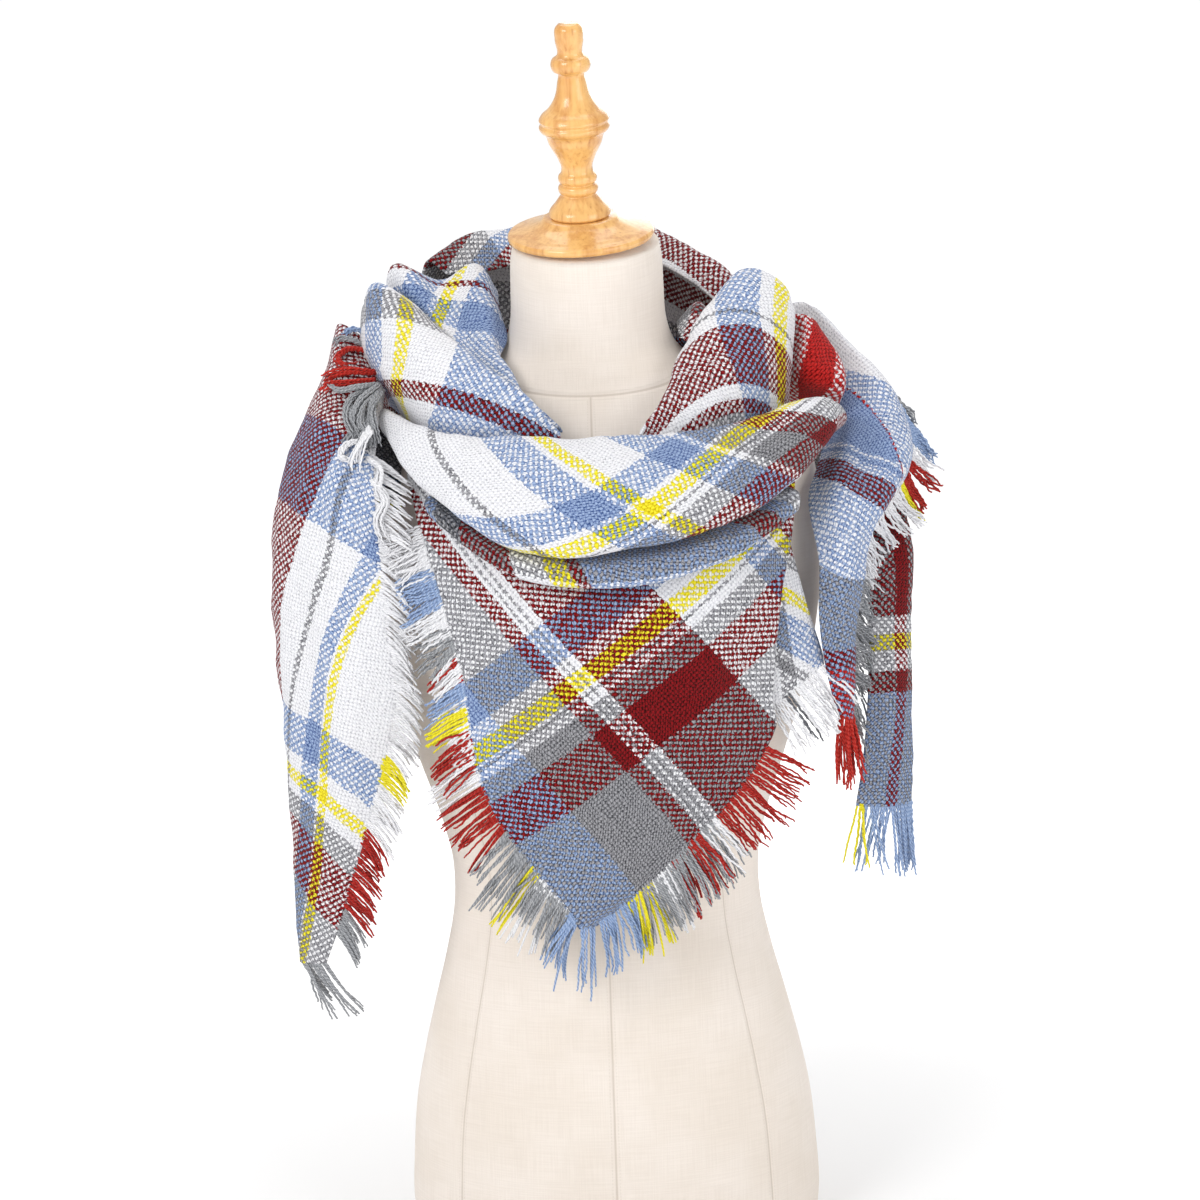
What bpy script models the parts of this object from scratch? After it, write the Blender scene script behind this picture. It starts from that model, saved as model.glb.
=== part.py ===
"""Blanket scarf in a plaid weave, wound round the neck of a limbless dress form.

Lengths below are millimetres; the scene is in metres. X runs to the viewer's right, Y away from the
viewer and Z up. The origin is the middle of the form's flat base. Every cloth stretch is a smooth sheet
through a few named points of each section, given a wall and closed round its edges.
"""

import math

import bpy
import numpy as np

MM = 0.001

CLOTH_WALL = 2.0        # thickness of one layer of the woven cloth
HEM_GAP = 0.9           # clear space between a hem and its fringe strip
STRIP_WIDTH = 3.5       # narrow strip that holds the roots of a fringe
STRAND_WIDTH = 2.8      # one lock of fringe at its root
STRAND_TIP = 0.6        # share of that width left at its tip

# ---------------------------------------------------------------- dress form

FORM_SIDES = 26
# One row for each ring of the torso and neck: height, half width, front, back, forward tilt in degrees.
FORM_RINGS = [
    # height, half_width, front, back, tilt
    (0, 160, -104, 108, 0),
    (22, 162.5, -105, 110, 0),
    (62, 161, -106, 112, 0),
    (105, 157, -104, 110, 0),
    (150, 148, -98, 103, 0),
    (186, 139, -91, 95, 0),
    (226, 128.5, -85, 86, 0),
    (264, 121, -81, 80, 0),
    (300, 120.5, -83, 78, 0),
    (332, 127, -91, 82, 0),
    (380, 142, -106, 92, 0),
    (430, 157, -119, 99, 0),
    (480, 168, -126, 103, 0),
    (525, 173, -124, 106, 0),
    (565, 174, -112, 107, 0),
    (600, 171, -97, 106, 0),
    (632, 161, -82, 102, 0),
    (655, 138, -71, 94, 0),
    (671, 108, -64, 84, 0),
    (684, 82, -61, 73, 1),
    (699, 66, -59, 63, 4),
    (716, 60.5, -60, 56, 8),
    (742, 59, -65, 50, 12),
    (764, 58, -71, 44, 14),
    (775, 56, -73, 38, 14),
    (777, 52, -69, 34, 14),
]

# The wooden cap and the finial stand on one axis that leans forward and a little to the left.
AXIS_FOOT = (-3.0, -18.0, 778.0)
AXIS_FORWARD = 14.0
AXIS_LEFT = 1.6

CAP_SIDES = 26
# One row for each turned ring: distance along the axis, radius.
CAP_RINGS = [
    (0.8, 50.0),
    (1.8, 54.4),
    (4.0, 55.0),
    (6.2, 54.2),
    (7.4, 51.0),
    (9.0, 44.5),
    (11.5, 36.0),
    (14.5, 30.0),
    (17.0, 27.5),
]

FINIAL_SIDES = 15
FINIAL_RINGS = [
    (17.5, 21.5),
    (19.0, 23.0),
    (22.0, 22.6),
    (28.0, 18.0),
    (33.0, 14.2),
    (34.5, 13.0),
    (36.5, 14.4),
    (41.0, 14.4),
    (42.6, 12.6),
    (44.5, 14.0),
    (49.0, 14.0),
    (51.0, 12.2),
    (54.0, 11.6),
    (62.0, 13.8),
    (73.0, 19.5),
    (81.0, 22.6),
    (83.0, 25.2),
    (86.0, 26.2),
    (88.5, 25.0),
    (91.0, 26.0),
    (94.0, 24.6),
    (99.0, 19.0),
    (108.0, 13.2),
    (118.0, 10.8),
    (125.5, 10.2),
    (127.0, 13.0),
    (131.5, 14.7),
    (136.0, 13.4),
    (138.5, 10.0),
    (150.0, 10.4),
    (159.0, 9.6),
    (161.3, 7.6),
]

# ------------------------------------------------------------ scarf stretches

# Each table lists the sections of one stretch in order. A section is a row of (x, y, z) points, and the
# columns are named at the top of its table. STRETCHES says how many facets each has along and across.

FRONT_PANEL = [
    # left, left_mid, centre, right_mid, right
    ((-138, -62, 612), (-75, -100, 608), (2, -110, 603), (80, -101, 604), (150, -62, 612)),
    ((-128, -94, 572), (-68, -121, 560), (6, -129, 550), (78, -122, 554), (145, -86, 563)),
    ((-112, -108, 511), (-58, -134, 502), (9, -140, 495), (78, -135, 500), (134, -103, 512)),
    ((-100, -118, 460), (-48, -136, 452), (12, -139, 446), (74, -134, 445), (126, -111, 443)),
    ((-93, -126, 400), (-44, -135, 396), (12, -137, 394), (72, -132, 402), (126, -115, 416)),
    ((-77, -129, 359), (-36, -134, 356), (6, -134, 358), (58, -131, 366), (98, -123, 374)),
    ((-50, -131, 318), (-26, -132, 320), (0, -132, 324), (30, -131, 330), (62, -128, 338)),
    ((-32, -131, 295), (-16, -132, 295), (-2, -132, 298), (12, -131, 300), (26, -130, 304)),
    ((-21, -131, 277), (-18, -131, 277), (-15, -131, 277), (-12, -131, 278), (-9, -131, 279)),
]

FRONT_UNDER_LAYER = [
    # hidden_side, middle, free_side
    ((112, -98, 566), (128, -92, 562.4), (142, -80, 556)),
    ((111.1, -98.7, 511.6), (134, -96, 510), (154, -84, 508)),
    ((118, -106, 468), (142, -98, 468), (165, -86, 470)),
    ((124, -104, 430), (145, -99, 446), (166, -89, 462)),
]

COWL_LOWER_FOLD = [
    # top, face, low_edge, under_lip
    ((-120, -98, 598), (-123, -105, 592), (-118, -107, 584), (-112, -99.6, 585)),
    ((-95, -113, 583), (-98, -125, 577), (-94, -127, 566), (-89, -114.2, 564.8)),
    ((-66, -130, 569), (-69, -143, 560), (-67, -145, 550), (-65, -134, 550)),
    ((-38, -139, 562), (-41, -154, 551), (-40, -152, 541), (-39, -141, 541)),
    ((-8, -143, 560), (-10, -158, 549), (-10, -156, 538), (-9, -144, 539)),
    ((32, -143, 562), (33, -158, 550), (32, -156, 538), (31, -144, 540)),
    ((72, -136, 569), (76, -150, 559), (75, -149, 547), (73, -138, 548)),
    ((107, -117, 578), (112, -131, 570), (110, -132, 558), (106, -121, 560)),
    ((142, -92, 595), (150, -101, 590), (148, -103, 580), (144, -95, 581)),
]

LEFT_UNDER_FOLD = [
    # outer, middle, inner
    ((-170, -22, 662), (-162, -26, 654), (-151.2, -19.2, 641.6)),
    ((-168, -48, 638), (-158, -50, 630), (-143.8, -40.4, 619.4)),
    ((-161, -72, 612), (-152, -70, 606), (-144, -60, 600)),
    ((-159, -80, 592), (-151, -76, 588), (-143, -68, 584)),
]

COWL_ROLL = [
    # back_lip, rim, belly, low_edge, under_lip
    ((-150, -32, 648), (-153, -42, 656), (-157, -54, 650), (-152, -60, 641), (-146, -52, 636)),
    ((-122.5, -68, 638.7), (-130, -81, 649), (-137, -99, 633), (-129, -103, 613), (-122, -94, 607)),
    ((-96.8, -95.5, 630), (-103, -107, 642), (-107, -131, 619), (-96, -135, 588), (-92, -123, 584)),
    ((-64, -114, 628), (-66, -123, 642), (-68, -153, 612), (-59, -156, 568), (-57, -142.5, 563.4)),
    ((-23, -122, 627), (-23, -131, 641), (-24, -167, 606), (-22, -165, 562), (-22, -151, 562)),
    ((20, -122, 626), (20, -131, 640), (21, -168, 606), (21, -165, 565), (21, -151, 565)),
    ((62, -114, 627), (64, -123, 640), (70, -157, 612), (69, -157, 573), (67, -144, 573)),
    ((104, -97, 632), (108, -106, 644), (116, -133, 622), (113, -135, 586), (110, -123, 585)),
    ((141, -66, 642), (146, -75, 654), (156, -100, 640), (152, -105, 608), (148, -94, 603)),
    ((166, -38, 640), (171, -46, 652), (181, -58, 650), (179, -65, 634), (173, -57, 628)),
    ((174, -16, 638), (180, -20, 646), (189, -24, 644), (189, -28, 633), (182, -24, 627)),
]

LEFT_SHOULDER_OUTER = [
    # hem, face, crest, turned
    ((-21, -106, 622), (-22, -113, 631), (-24, -113, 643), (-25, -109, 641)),
    ((-50, -104, 622), (-52, -111, 645), (-52, -101, 671), (-51, -95, 668)),
    ((-80, -94, 622), (-84, -101, 655), (-77, -81, 689), (-74, -74, 687)),
    ((-104, -80, 624), (-110, -89, 666), (-98, -63, 705), (-94, -56, 702)),
    ((-122, -58, 635), (-134, -69, 680), (-117, -47, 719), (-111, -39, 715)),
    ((-138, -30, 648), (-155, -44, 692), (-138, -30, 738), (-131, -20, 733)),
    ((-152, -5, 656), (-168, -16, 702), (-154, -12, 747), (-147, -2, 742)),
    ((-160, 16, 652), (-172, 16, 702), (-161, 18, 744), (-155, 22, 738)),
    ((-160, 46, 650), (-169, 46, 694), (-158, 46, 730), (-152, 46, 726)),
]

LEFT_SHOULDER_INNER = [
    # hidden, outer_lobe, valley, inner_lobe, neck_side
    ((-36, -87, 631), (-32, -92, 637), (-29, -93, 642), (-25, -92, 645), (-22, -88, 641)),
    ((-64, -76, 646), (-60, -82, 658), (-54, -83, 663), (-47, -79, 665), (-44, -75, 656)),
    ((-92, -58, 663), (-83, -61, 679), (-72, -61, 683), (-61, -59, 685), (-56, -58, 676)),
    ((-106, -32, 678), (-97, -42, 699), (-84, -42, 697), (-71, -40, 700), (-67, -38, 690)),
    ((-128, -8, 698), (-121, -14, 727), (-99, -18, 719), (-76, -17, 724), (-61.9, -15, 705.2)),
    ((-144, 10, 714), (-137, 6, 752), (-111, 8, 743), (-81, 5, 749), (-68, 3, 726)),
    ((-154, 29, 722), (-145, 25, 760), (-113, 28, 747), (-84, 24, 758), (-69, 20, 738)),
    ((-146, 45, 716), (-138, 43, 750), (-111, 45, 739), (-86, 42, 752), (-73, 38, 738)),
]

NAPE_BAND = [
    # low_edge, outer_face, crest, neck_side
    ((-124, 60, 714.8), (-128, 64, 742), (-121, 62, 760), (-108, 60, 750)),
    ((-114, 92, 702.8), (-110, 96, 742), (-93, 82, 776), (-74, 62, 752)),
    ((-74, 126, 692), (-71, 122, 742), (-60, 94, 782), (-50, 68, 758)),
    ((0, 146, 686), (0, 137, 742), (0, 100, 785), (0, 70, 762)),
    ((62, 126, 690), (59, 120, 736), (52, 88, 777), (44, 64, 758)),
    ((98, 86, 694), (95, 80, 732), (80, 58, 762), (64, 44, 750)),
    ((115, 60, 694), (115, 54, 728), (101, 42, 749), (86, 30, 736)),
    ((122, 44, 698), (123, 40, 719), (110, 32, 736), (99, 20, 724)),
]

RIGHT_UNDER_BAND = [
    # hidden, crest, neck_side
    ((98, 30, 688), (84, 30, 714), (70, 28, 706)),
    ((98, 8, 690), (83, 8, 724), (68, 7, 710)),
    ((92, -14, 686), (80.5, -15, 712.4), (69, -14, 704)),
    ((88.6, -19.4, 677.8), (79.6, -24.4, 694.6), (72, -22, 700)),
]

RIGHT_SHOULDER_WRAP = [
    # hem, face, crest, turned
    ((33, -104, 622), (34, -109, 631), (37, -108, 641), (39, -102, 637)),
    ((56, -102, 622), (58, -99, 645), (57, -77, 665), (60, -66, 661)),
    ((78, -94, 624), (80, -86, 662), (70, -44, 693), (75, -37, 690)),
    ((102, -80, 628), (108, -68, 682), (93, -16, 726), (98, -4, 719)),
    ((126, -62, 634), (133, -47, 692), (122, 0, 749), (124, 12, 742)),
    ((139, -42, 642), (148, -28, 690), (148, 2, 735), (147, 14, 728)),
    ((148, -20, 650), (153, -13, 688), (154, 0, 718), (151, 12, 712)),
]

RIGHT_SHOULDER_ROLL = [
    # inner, front, side, back
    ((153.3, 12.8, 711.5), (164, 6, 713), (172, 7, 708), (175, 24, 700)),
    ((158, 6, 694), (167, -4, 703), (178, -2, 697), (182, 20, 688)),
    ((157, -4, 677), (169, -16, 687), (188, -8, 678), (189, 16, 669)),
    ((158, -10, 664), (171, -24, 669), (190, -15, 662), (189, 10, 655)),
    ((161, 4, 647), (172, -3, 650), (183, -2, 643), (187.1, 15, 636.7)),
]

BACK_DRAPE = [
    # top, shoulder, middle, lower, hem
    ((-142, 54, 712), (-156, 56, 692), (-170, 56, 655), (-182, 54, 612), (-188, 52, 570)),
    ((-114, 76, 708), (-130, 88, 690), (-144, 98, 650), (-152, 102, 600), (-154, 98, 548)),
    ((-62, 100, 702), (-72, 120, 686), (-84, 134, 642), (-90, 134, 584), (-90, 118, 524)),
    ((0, 108, 698), (0, 128, 682), (0, 144, 636), (0, 138, 574), (0, 105.5, 506)),
    ((62, 100, 692), (72, 118, 676), (84, 132, 634), (88, 132, 580), (90, 118, 522)),
    ((112, 74, 688), (128, 86, 672), (142, 96, 636), (150, 102, 592), (152, 98, 546)),
    ((146, 50, 690), (160, 52, 670), (172, 54, 640), (182, 52, 604), (188, 50, 568)),
]

BACK_CROSS = [
    # upper_edge, middle, lower_edge
    ((-150, 78, 704), (-168, 74, 666), (-186, 68, 622)),
    ((-126, 110, 698), (-146, 112, 656), (-160, 112, 606)),
    ((-66, 146, 684), (-82, 152, 632), (-94, 150, 576)),
    ((4, 158, 668), (-4, 164, 606), (-14, 160, 544)),
    ((74, 148, 652), (72, 156, 590), (66, 152, 530)),
    ((133.4, 112, 639.6), (139.4, 116, 583.4), (139.4, 114, 533.6)),
    ((174, 71, 640), (186, 71, 594), (192, 69, 552)),
]

LEFT_TAIL = [
    # front_edge, face, outer, back_edge
    ((-172.6, -3.5, 706), (-181, 0, 715), (-190, 12, 716), (-190, 34, 708)),
    ((-169, -40, 672), (-184, -30, 684), (-199, 0, 684), (-196, 30, 678)),
    ((-165, -70, 642), (-190, -60, 652), (-216, -14, 650), (-209, 26, 644)),
    ((-161, -95, 608), (-193, -88, 612), (-233, -30, 606), (-226, 20, 602)),
    ((-159, -100, 562), (-196, -95, 563), (-243, -36, 560), (-234, 14, 560)),
    ((-157, -100, 508), (-196, -96, 509), (-245, -39, 508), (-236, 6, 508)),
    ((-152, -98, 446), (-192, -94, 450), (-242, -42, 450), (-234, -2, 450)),
    ((-162, -92, 402), (-199, -88, 401), (-239, -44, 400), (-232, -10, 400)),
    ((-184, -80, 330), (-207, -78, 330), (-237, -48, 330), (-231, -22, 330)),
    ((-203, -70, 272), (-217, -69, 272), (-237, -51, 270), (-233, -36, 270)),
    ((-216, -65, 238), (-224, -63, 237), (-236, -55, 236), (-235, -48, 236)),
]

RIGHT_TAIL = [
    # front_edge, face, outer, back_edge
    ((158, 62, 718), (168, 57, 719), (178, 53, 713), (184, 66, 707)),
    ((168, 50, 683), (185, 44, 698), (200, 40, 688), (206, 60, 681)),
    ((179, 36, 651), (200, 28, 666), (224, 20, 660), (234, 44, 648)),
    ((181, 18, 624), (200, 2, 636), (232, -2, 638), (245, 24, 620)),
    ((176, -22, 602), (192, -34, 614), (233, -30, 610), (241, 2, 594)),
    ((164, -62, 580), (184, -74, 587), (216, -62, 582), (222, -34, 573)),
    ((165, -88, 540), (184, -93, 545), (201, -75, 551), (198, -52, 551)),
    ((164, -91, 500), (180, -96, 503), (193, -81, 506), (190, -56, 506)),
    ((168, -93, 460), (178, -97, 459), (188, -85, 457), (186, -64, 457)),
    ((176, -93, 424), (181, -94, 421), (187, -87, 419), (186, -76, 419)),
]

RIGHT_TAIL_UNDER = [
    # front_edge, face, outer, back_edge
    ((206, -12, 604), (218, -25.8, 607), (227.5, -26.8, 606), (231, -7, 600)),
    ((211, -10, 562), (223, -6, 563), (238, 4, 562), (236, 28, 560)),
    ((207, -28, 540), (222, -26, 540), (239, -12, 540), (235, 14, 540)),
    ((205, -42, 482), (222, -36, 481), (238, -20, 480), (233, 6, 480)),
    ((202, -56, 426), (220, -49, 425), (237, -27, 425), (232, -2, 425)),
    ((196, -62, 374), (216, -55, 373), (235, -33, 372), (230, -12, 372)),
    ((191, -64, 347), (213, -58, 344), (234, -37, 341), (229, -20, 341)),
]

# Root line of the tufts that lie turned back over the left tail. It only places them.
LEFT_SHOULDER_HEM = [
    # hem, over_the_face
    ((-171, -32, 699), (-177, -32, 700)),
    ((-170, -44.6, 671.2), (-176, -43.9, 673.2)),
    ((-163, -62.9, 654.4), (-168, -60.9, 658.4)),
    ((-156, -92, 640), (-161, -90, 645)),
]

# node, sections, facets along, facets across, colour
STRETCHES = [
    ("scarf_front_panel", FRONT_PANEL, 16, 11, (0.47, 0.10, 0.12)),
    ("scarf_front_under_layer", FRONT_UNDER_LAYER, 7, 5, (0.45, 0.55, 0.72)),
    ("scarf_cowl_lower_fold", COWL_LOWER_FOLD, 18, 7, (0.25, 0.30, 0.45)),
    ("scarf_cowl_roll", COWL_ROLL, 22, 9, (0.85, 0.85, 0.80)),
    ("scarf_left_shoulder_outer", LEFT_SHOULDER_OUTER, 16, 8, (0.88, 0.86, 0.70)),
    ("scarf_left_shoulder_inner", LEFT_SHOULDER_INNER, 13, 9, (0.52, 0.62, 0.78)),
    ("scarf_nape_band", NAPE_BAND, 16, 7, (0.55, 0.58, 0.62)),
    ("scarf_right_under_band", RIGHT_UNDER_BAND, 7, 6, (0.60, 0.30, 0.30)),
    ("scarf_right_shoulder_wrap", RIGHT_SHOULDER_WRAP, 15, 8, (0.62, 0.25, 0.28)),
    ("scarf_right_shoulder_roll", RIGHT_SHOULDER_ROLL, 8, 7, (0.60, 0.08, 0.09)),
    ("scarf_back_drape", BACK_DRAPE, 16, 8, (0.80, 0.81, 0.84)),
    ("scarf_back_cross", BACK_CROSS, 14, 6, (0.40, 0.48, 0.66)),
    ("scarf_left_under_fold", LEFT_UNDER_FOLD, 6, 5, (0.22, 0.23, 0.27)),
    ("scarf_left_tail", LEFT_TAIL, 17, 8, (0.86, 0.87, 0.90)),
    ("scarf_right_tail", RIGHT_TAIL, 17, 8, (0.50, 0.60, 0.78)),
    ("scarf_right_tail_under", RIGHT_TAIL_UNDER, 10, 7, (0.42, 0.16, 0.20)),
]

# Fringes. side is the edge of the stretch that carries the hem; start and end are shares of that edge;
# inset moves the strip back under the cloth and lift moves it off the cloth's face; the strands lie in
# the direction hang_start at the start and hang_end at the end.
# node, stretch, side, start, end, strands, length, inset, lift, hang_start, hang_end, colour
FRINGES = [
    ("fringe_front_left", "scarf_front_panel", "first", 0.14, 0.56, 18, 26, 7, 2.9,
     (-0.86, -0.50, -0.18), (-0.80, -0.16, -0.58), (0.90, 0.90, 0.93)),
    ("fringe_front_lower_left", "scarf_front_panel", "first", 0.66, 0.985, 14, 38, 0, 0,
     (-0.80, 0.0, -0.60), (-0.25, 0.0, -0.97), (0.66, 0.50, 0.54)),
    ("fringe_front_lower_right", "scarf_front_panel", "last", 0.55, 0.99, 23, 39, 0, 0,
     (0.85, 0.0, -0.53), (-0.05, 0.0, -0.99), (0.60, 0.12, 0.12)),
    ("fringe_under_layer", "scarf_front_under_layer", "end", 0.05, 0.86, 8, 38, 0, 0,
     (0.45, -0.25, -0.86), (0.55, -0.50, -0.67), (0.88, 0.88, 0.90)),
    ("fringe_left_shoulder", "left_shoulder_hem", "last", 0.00, 0.38, 5, 36, 0, 0,
     (-0.95, -0.12, 0.10), (-0.92, -0.24, 0.0), (0.60, 0.12, 0.12)),
    ("fringe_left_tail_top", "left_shoulder_hem", "last", 0.43, 0.99, 8, 42, 0, 0,
     (-0.66, 0.10, 0.70), (-0.60, 0.15, 0.78), (0.36, 0.37, 0.40)),
    ("fringe_left_tail", "scarf_left_tail", "first", 0.28, 0.95, 22, 27, -1.3, 0,
     (0.66, 0.10, -0.75), (0.88, 0.15, -0.45), (0.90, 0.90, 0.92)),
    ("fringe_left_tail_tip", "scarf_left_tail", "end", 0.05, 0.90, 4, 42, 0, 0,
     (0.76, 0.0, -0.65), (0.48, 0.0, -0.88), (0.55, 0.56, 0.58)),
    ("fringe_right_tail", "scarf_right_tail", "last", 0.27, 0.90, 17, 27, 0, 0,
     (0.58, -0.20, -0.79), (0.74, -0.06, -0.67), (0.80, 0.82, 0.86)),
    ("fringe_right_tail_tip", "scarf_right_tail", "end", 0.06, 0.80, 3, 40, 0, 0,
     (0.12, -0.02, -0.99), (0.12, -0.02, -0.99), (0.62, 0.10, 0.10)),
    ("fringe_right_tail_under", "scarf_right_tail_under", "end", 0.05, 0.95, 9, 46, 0, 0,
     (-0.12, 0.0, -0.99), (0.0, 0.0, -0.99), (0.42, 0.50, 0.72)),
]


# ------------------------------------------------------------------- helpers

def unit(vectors):
    length = np.linalg.norm(vectors, axis=-1, keepdims=True)
    return vectors / np.maximum(length, 1e-9)


def smooth_through(rows, steps):
    """A smooth curve of steps + 1 points through rows, with tangents weighted by the spacing of the rows."""
    rows = np.asarray(rows, float)
    gaps = np.linalg.norm(np.diff(rows, axis=0), axis=-1)
    gaps = np.maximum(gaps.reshape(len(rows) - 1, -1).mean(axis=1), 1e-6)
    places = np.concatenate([[0.0], np.cumsum(gaps)])
    shape = (-1,) + (1,) * (rows.ndim - 1)
    slopes = np.diff(rows, axis=0) / gaps.reshape(shape)
    tangents = np.empty_like(rows)
    tangents[0] = slopes[0]
    tangents[-1] = slopes[-1]
    before = gaps[:-1].reshape(shape)
    after = gaps[1:].reshape(shape)
    tangents[1:-1] = (slopes[:-1] * after + slopes[1:] * before) / (before + after)
    at = np.linspace(0.0, places[-1], steps + 1)
    left = np.clip(np.searchsorted(places, at, side="right") - 1, 0, len(rows) - 2)
    share = ((at - places[left]) / gaps[left]).reshape(shape)
    step = gaps[left].reshape(shape)
    return (
        (2 * share**3 - 3 * share**2 + 1) * rows[left]
        + (share**3 - 2 * share**2 + share) * step * tangents[left]
        + (3 * share**2 - 2 * share**3) * rows[left + 1]
        + (share**3 - share**2) * step * tangents[left + 1]
    )


def sheet_points(sections, along, across):
    """Grid of points, one row for each facet line along the stretch."""
    by_row = smooth_through(sections, along)
    by_column = smooth_through(by_row.transpose(1, 0, 2), across)
    return by_column.transpose(1, 0, 2)


def sheet_normals(grid):
    down = np.gradient(grid, axis=0)
    over = np.gradient(grid, axis=1)
    return unit(np.cross(down, over))


def walled_sheet(grid, thickness):
    """Vertices and faces of a closed wall whose middle is the grid."""
    rows, columns = grid.shape[:2]
    shift = sheet_normals(grid) * thickness / 2
    vertices = np.concatenate([(grid + shift).reshape(-1, 3), (grid - shift).reshape(-1, 3)])
    back = rows * columns
    faces = []
    for i in range(rows - 1):
        for j in range(columns - 1):
            a = i * columns + j
            b = a + columns
            faces.append((a, b, b + 1, a + 1))
            faces.append((back + a, back + a + 1, back + b + 1, back + b))
    rim = [j for j in range(columns)]
    rim += [i * columns + columns - 1 for i in range(1, rows)]
    rim += [(rows - 1) * columns + j for j in range(columns - 2, -1, -1)]
    rim += [i * columns for i in range(rows - 2, 0, -1)]
    for a, b in zip(rim, rim[1:] + rim[:1]):
        faces.append((a, b, back + b, back + a))
    return vertices, faces


def lathe_faces(ring_count, sides):
    faces = []
    for i in range(ring_count - 1):
        for j in range(sides):
            k = (j + 1) % sides
            faces.append((i * sides + j, i * sides + k, (i + 1) * sides + k, (i + 1) * sides + j))
    faces.append(tuple(range(sides - 1, -1, -1)))
    faces.append(tuple((ring_count - 1) * sides + j for j in range(sides)))
    return faces


def form_body():
    vertices = []
    for height, half_width, front, back, tilt in FORM_RINGS:
        middle = (front + back) / 2
        half_depth = (back - front) / 2
        lean = math.tan(math.radians(tilt))
        for j in range(FORM_SIDES):
            turn = 2 * math.pi * j / FORM_SIDES
            offset = half_depth * math.sin(turn)
            vertices.append((half_width * math.cos(turn), middle + offset, height + offset * lean))
    return vertices, lathe_faces(len(FORM_RINGS), FORM_SIDES)


def on_axis(distance, radius, turn):
    """Point at that distance along the leaning axis and that radius from it."""
    forward = math.radians(AXIS_FORWARD)
    left = math.radians(AXIS_LEFT)
    x = radius * math.cos(turn)
    y = radius * math.sin(turn)
    y, z = y * math.cos(forward) - distance * math.sin(forward), (
        y * math.sin(forward) + distance * math.cos(forward)
    )
    x, z = x * math.cos(left) - z * math.sin(left), x * math.sin(left) + z * math.cos(left)
    return (AXIS_FOOT[0] + x, AXIS_FOOT[1] + y, AXIS_FOOT[2] + z)


def turned_piece(rings, sides):
    vertices = []
    for distance, radius in rings:
        for j in range(sides):
            vertices.append(on_axis(distance, radius, 2 * math.pi * j / sides))
    return vertices, lathe_faces(len(rings), sides)


def hem_line(grid, side):
    """Points of one edge, the direction out of the cloth there and the cloth's normal."""
    normals = sheet_normals(grid)
    if side == "first":
        edge, inside, normal = grid[:, 0], grid[:, 1], normals[:, 0]
    elif side == "last":
        edge, inside, normal = grid[:, -1], grid[:, -2], normals[:, -1]
    elif side == "start":
        edge, inside, normal = grid[0], grid[1], normals[0]
    else:
        edge, inside, normal = grid[-1], grid[-2], normals[-1]
    along = unit(np.gradient(edge, axis=0))
    outward = edge - inside
    outward = outward - along * (outward * along).sum(axis=-1, keepdims=True)
    return edge, unit(outward), normal


def sample(line, shares):
    """Linear reading of a line of points at shares of its length."""
    steps = np.linalg.norm(np.diff(line[0], axis=0), axis=-1)
    places = np.concatenate([[0.0], np.cumsum(steps)]) / steps.sum()
    return [
        np.stack([np.interp(shares, places, values[:, k]) for k in range(3)], axis=-1)
        for values in line
    ]


def swung(vector, start, end):
    """The vector after the shortest turn that takes the direction start to the direction end."""
    axis = np.cross(start, end)
    across_axis = np.cross(axis, vector)
    return vector + across_axis + np.cross(axis, across_axis) / (1 + start @ end)


def fringe(grid, side, start, end, strands, length, inset, lift, hang_start, hang_end):
    """A narrow strip along the hem with one tapered strand on every second facet of its free edge."""
    edge, outward, normal = hem_line(grid, side)
    run = np.linalg.norm(np.diff(edge, axis=0), axis=-1).sum() * (end - start)
    pitch = run / strands
    half = min(STRAND_WIDTH, 0.62 * pitch) / 2 / run * (end - start)
    shares = []
    for k in range(strands):
        middle = start + (k + 0.5) * (end - start) / strands
        shares += [middle - half, middle + half]
    point, outward, normal = sample((edge, outward, normal), np.array(shares))
    outward = unit(outward)
    normal = unit(normal)
    gap = HEM_GAP if inset == 0 else -inset
    inner = point + outward * gap + normal * lift
    outer = inner + outward * STRIP_WIDTH
    thick = normal * CLOTH_WALL / 2
    hangs = np.linspace(hang_start, hang_end, strands)
    vertices = []
    for j in range(2 * strands):
        vertices += [inner[j] - thick[j], inner[j] + thick[j], outer[j] - thick[j], outer[j] + thick[j]]
    faces = [(0, 1, 3, 2)]
    for j in range(2 * strands - 1):
        a = 4 * j
        b = a + 4
        faces += [(a + 1, b + 1, b + 3, a + 3), (a, a + 2, b + 2, b), (a, b, b + 1, a + 1)]
        if j % 2:
            faces.append((a + 2, a + 3, b + 3, b + 2))
            continue
        k = j // 2
        reach = length * (0.86 + 0.14 * math.sin(2.4 * k) + 0.06 * math.sin(5.1 * k + 1.0))
        centre = (outer[j] + outer[j + 1]) / 2
        hang = unit(hangs[k])
        away = unit(hang * 0.6 + outward[j] * 0.4)
        across = (outer[j + 1] - outer[j]) / 2
        up = (thick[j] + thick[j + 1]) / 2
        root = [a + 2, a + 3, b + 3, b + 2]
        for share, size in ((0.45, 0.85), (1.0, STRAND_TIP)):
            direction = unit(away * (1 - share) + hang * share)
            middle = centre + direction * reach * share
            wide = swung(across, outward[j], direction) * size
            deep = swung(up, outward[j], direction) * size
            ring = len(vertices)
            for side_sign, up_sign in ((-1, -1), (-1, 1), (1, 1), (1, -1)):
                vertices.append(middle + wide * side_sign + deep * up_sign)
            tip = [ring, ring + 1, ring + 2, ring + 3]
            for p in range(4):
                q = (p + 1) % 4
                faces.append((root[p], root[q], tip[q], tip[p]))
            root = tip
        faces.append(tuple(root))
    last = 4 * (2 * strands - 1)
    faces.append((last, last + 2, last + 3, last + 1))
    return vertices, faces


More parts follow.
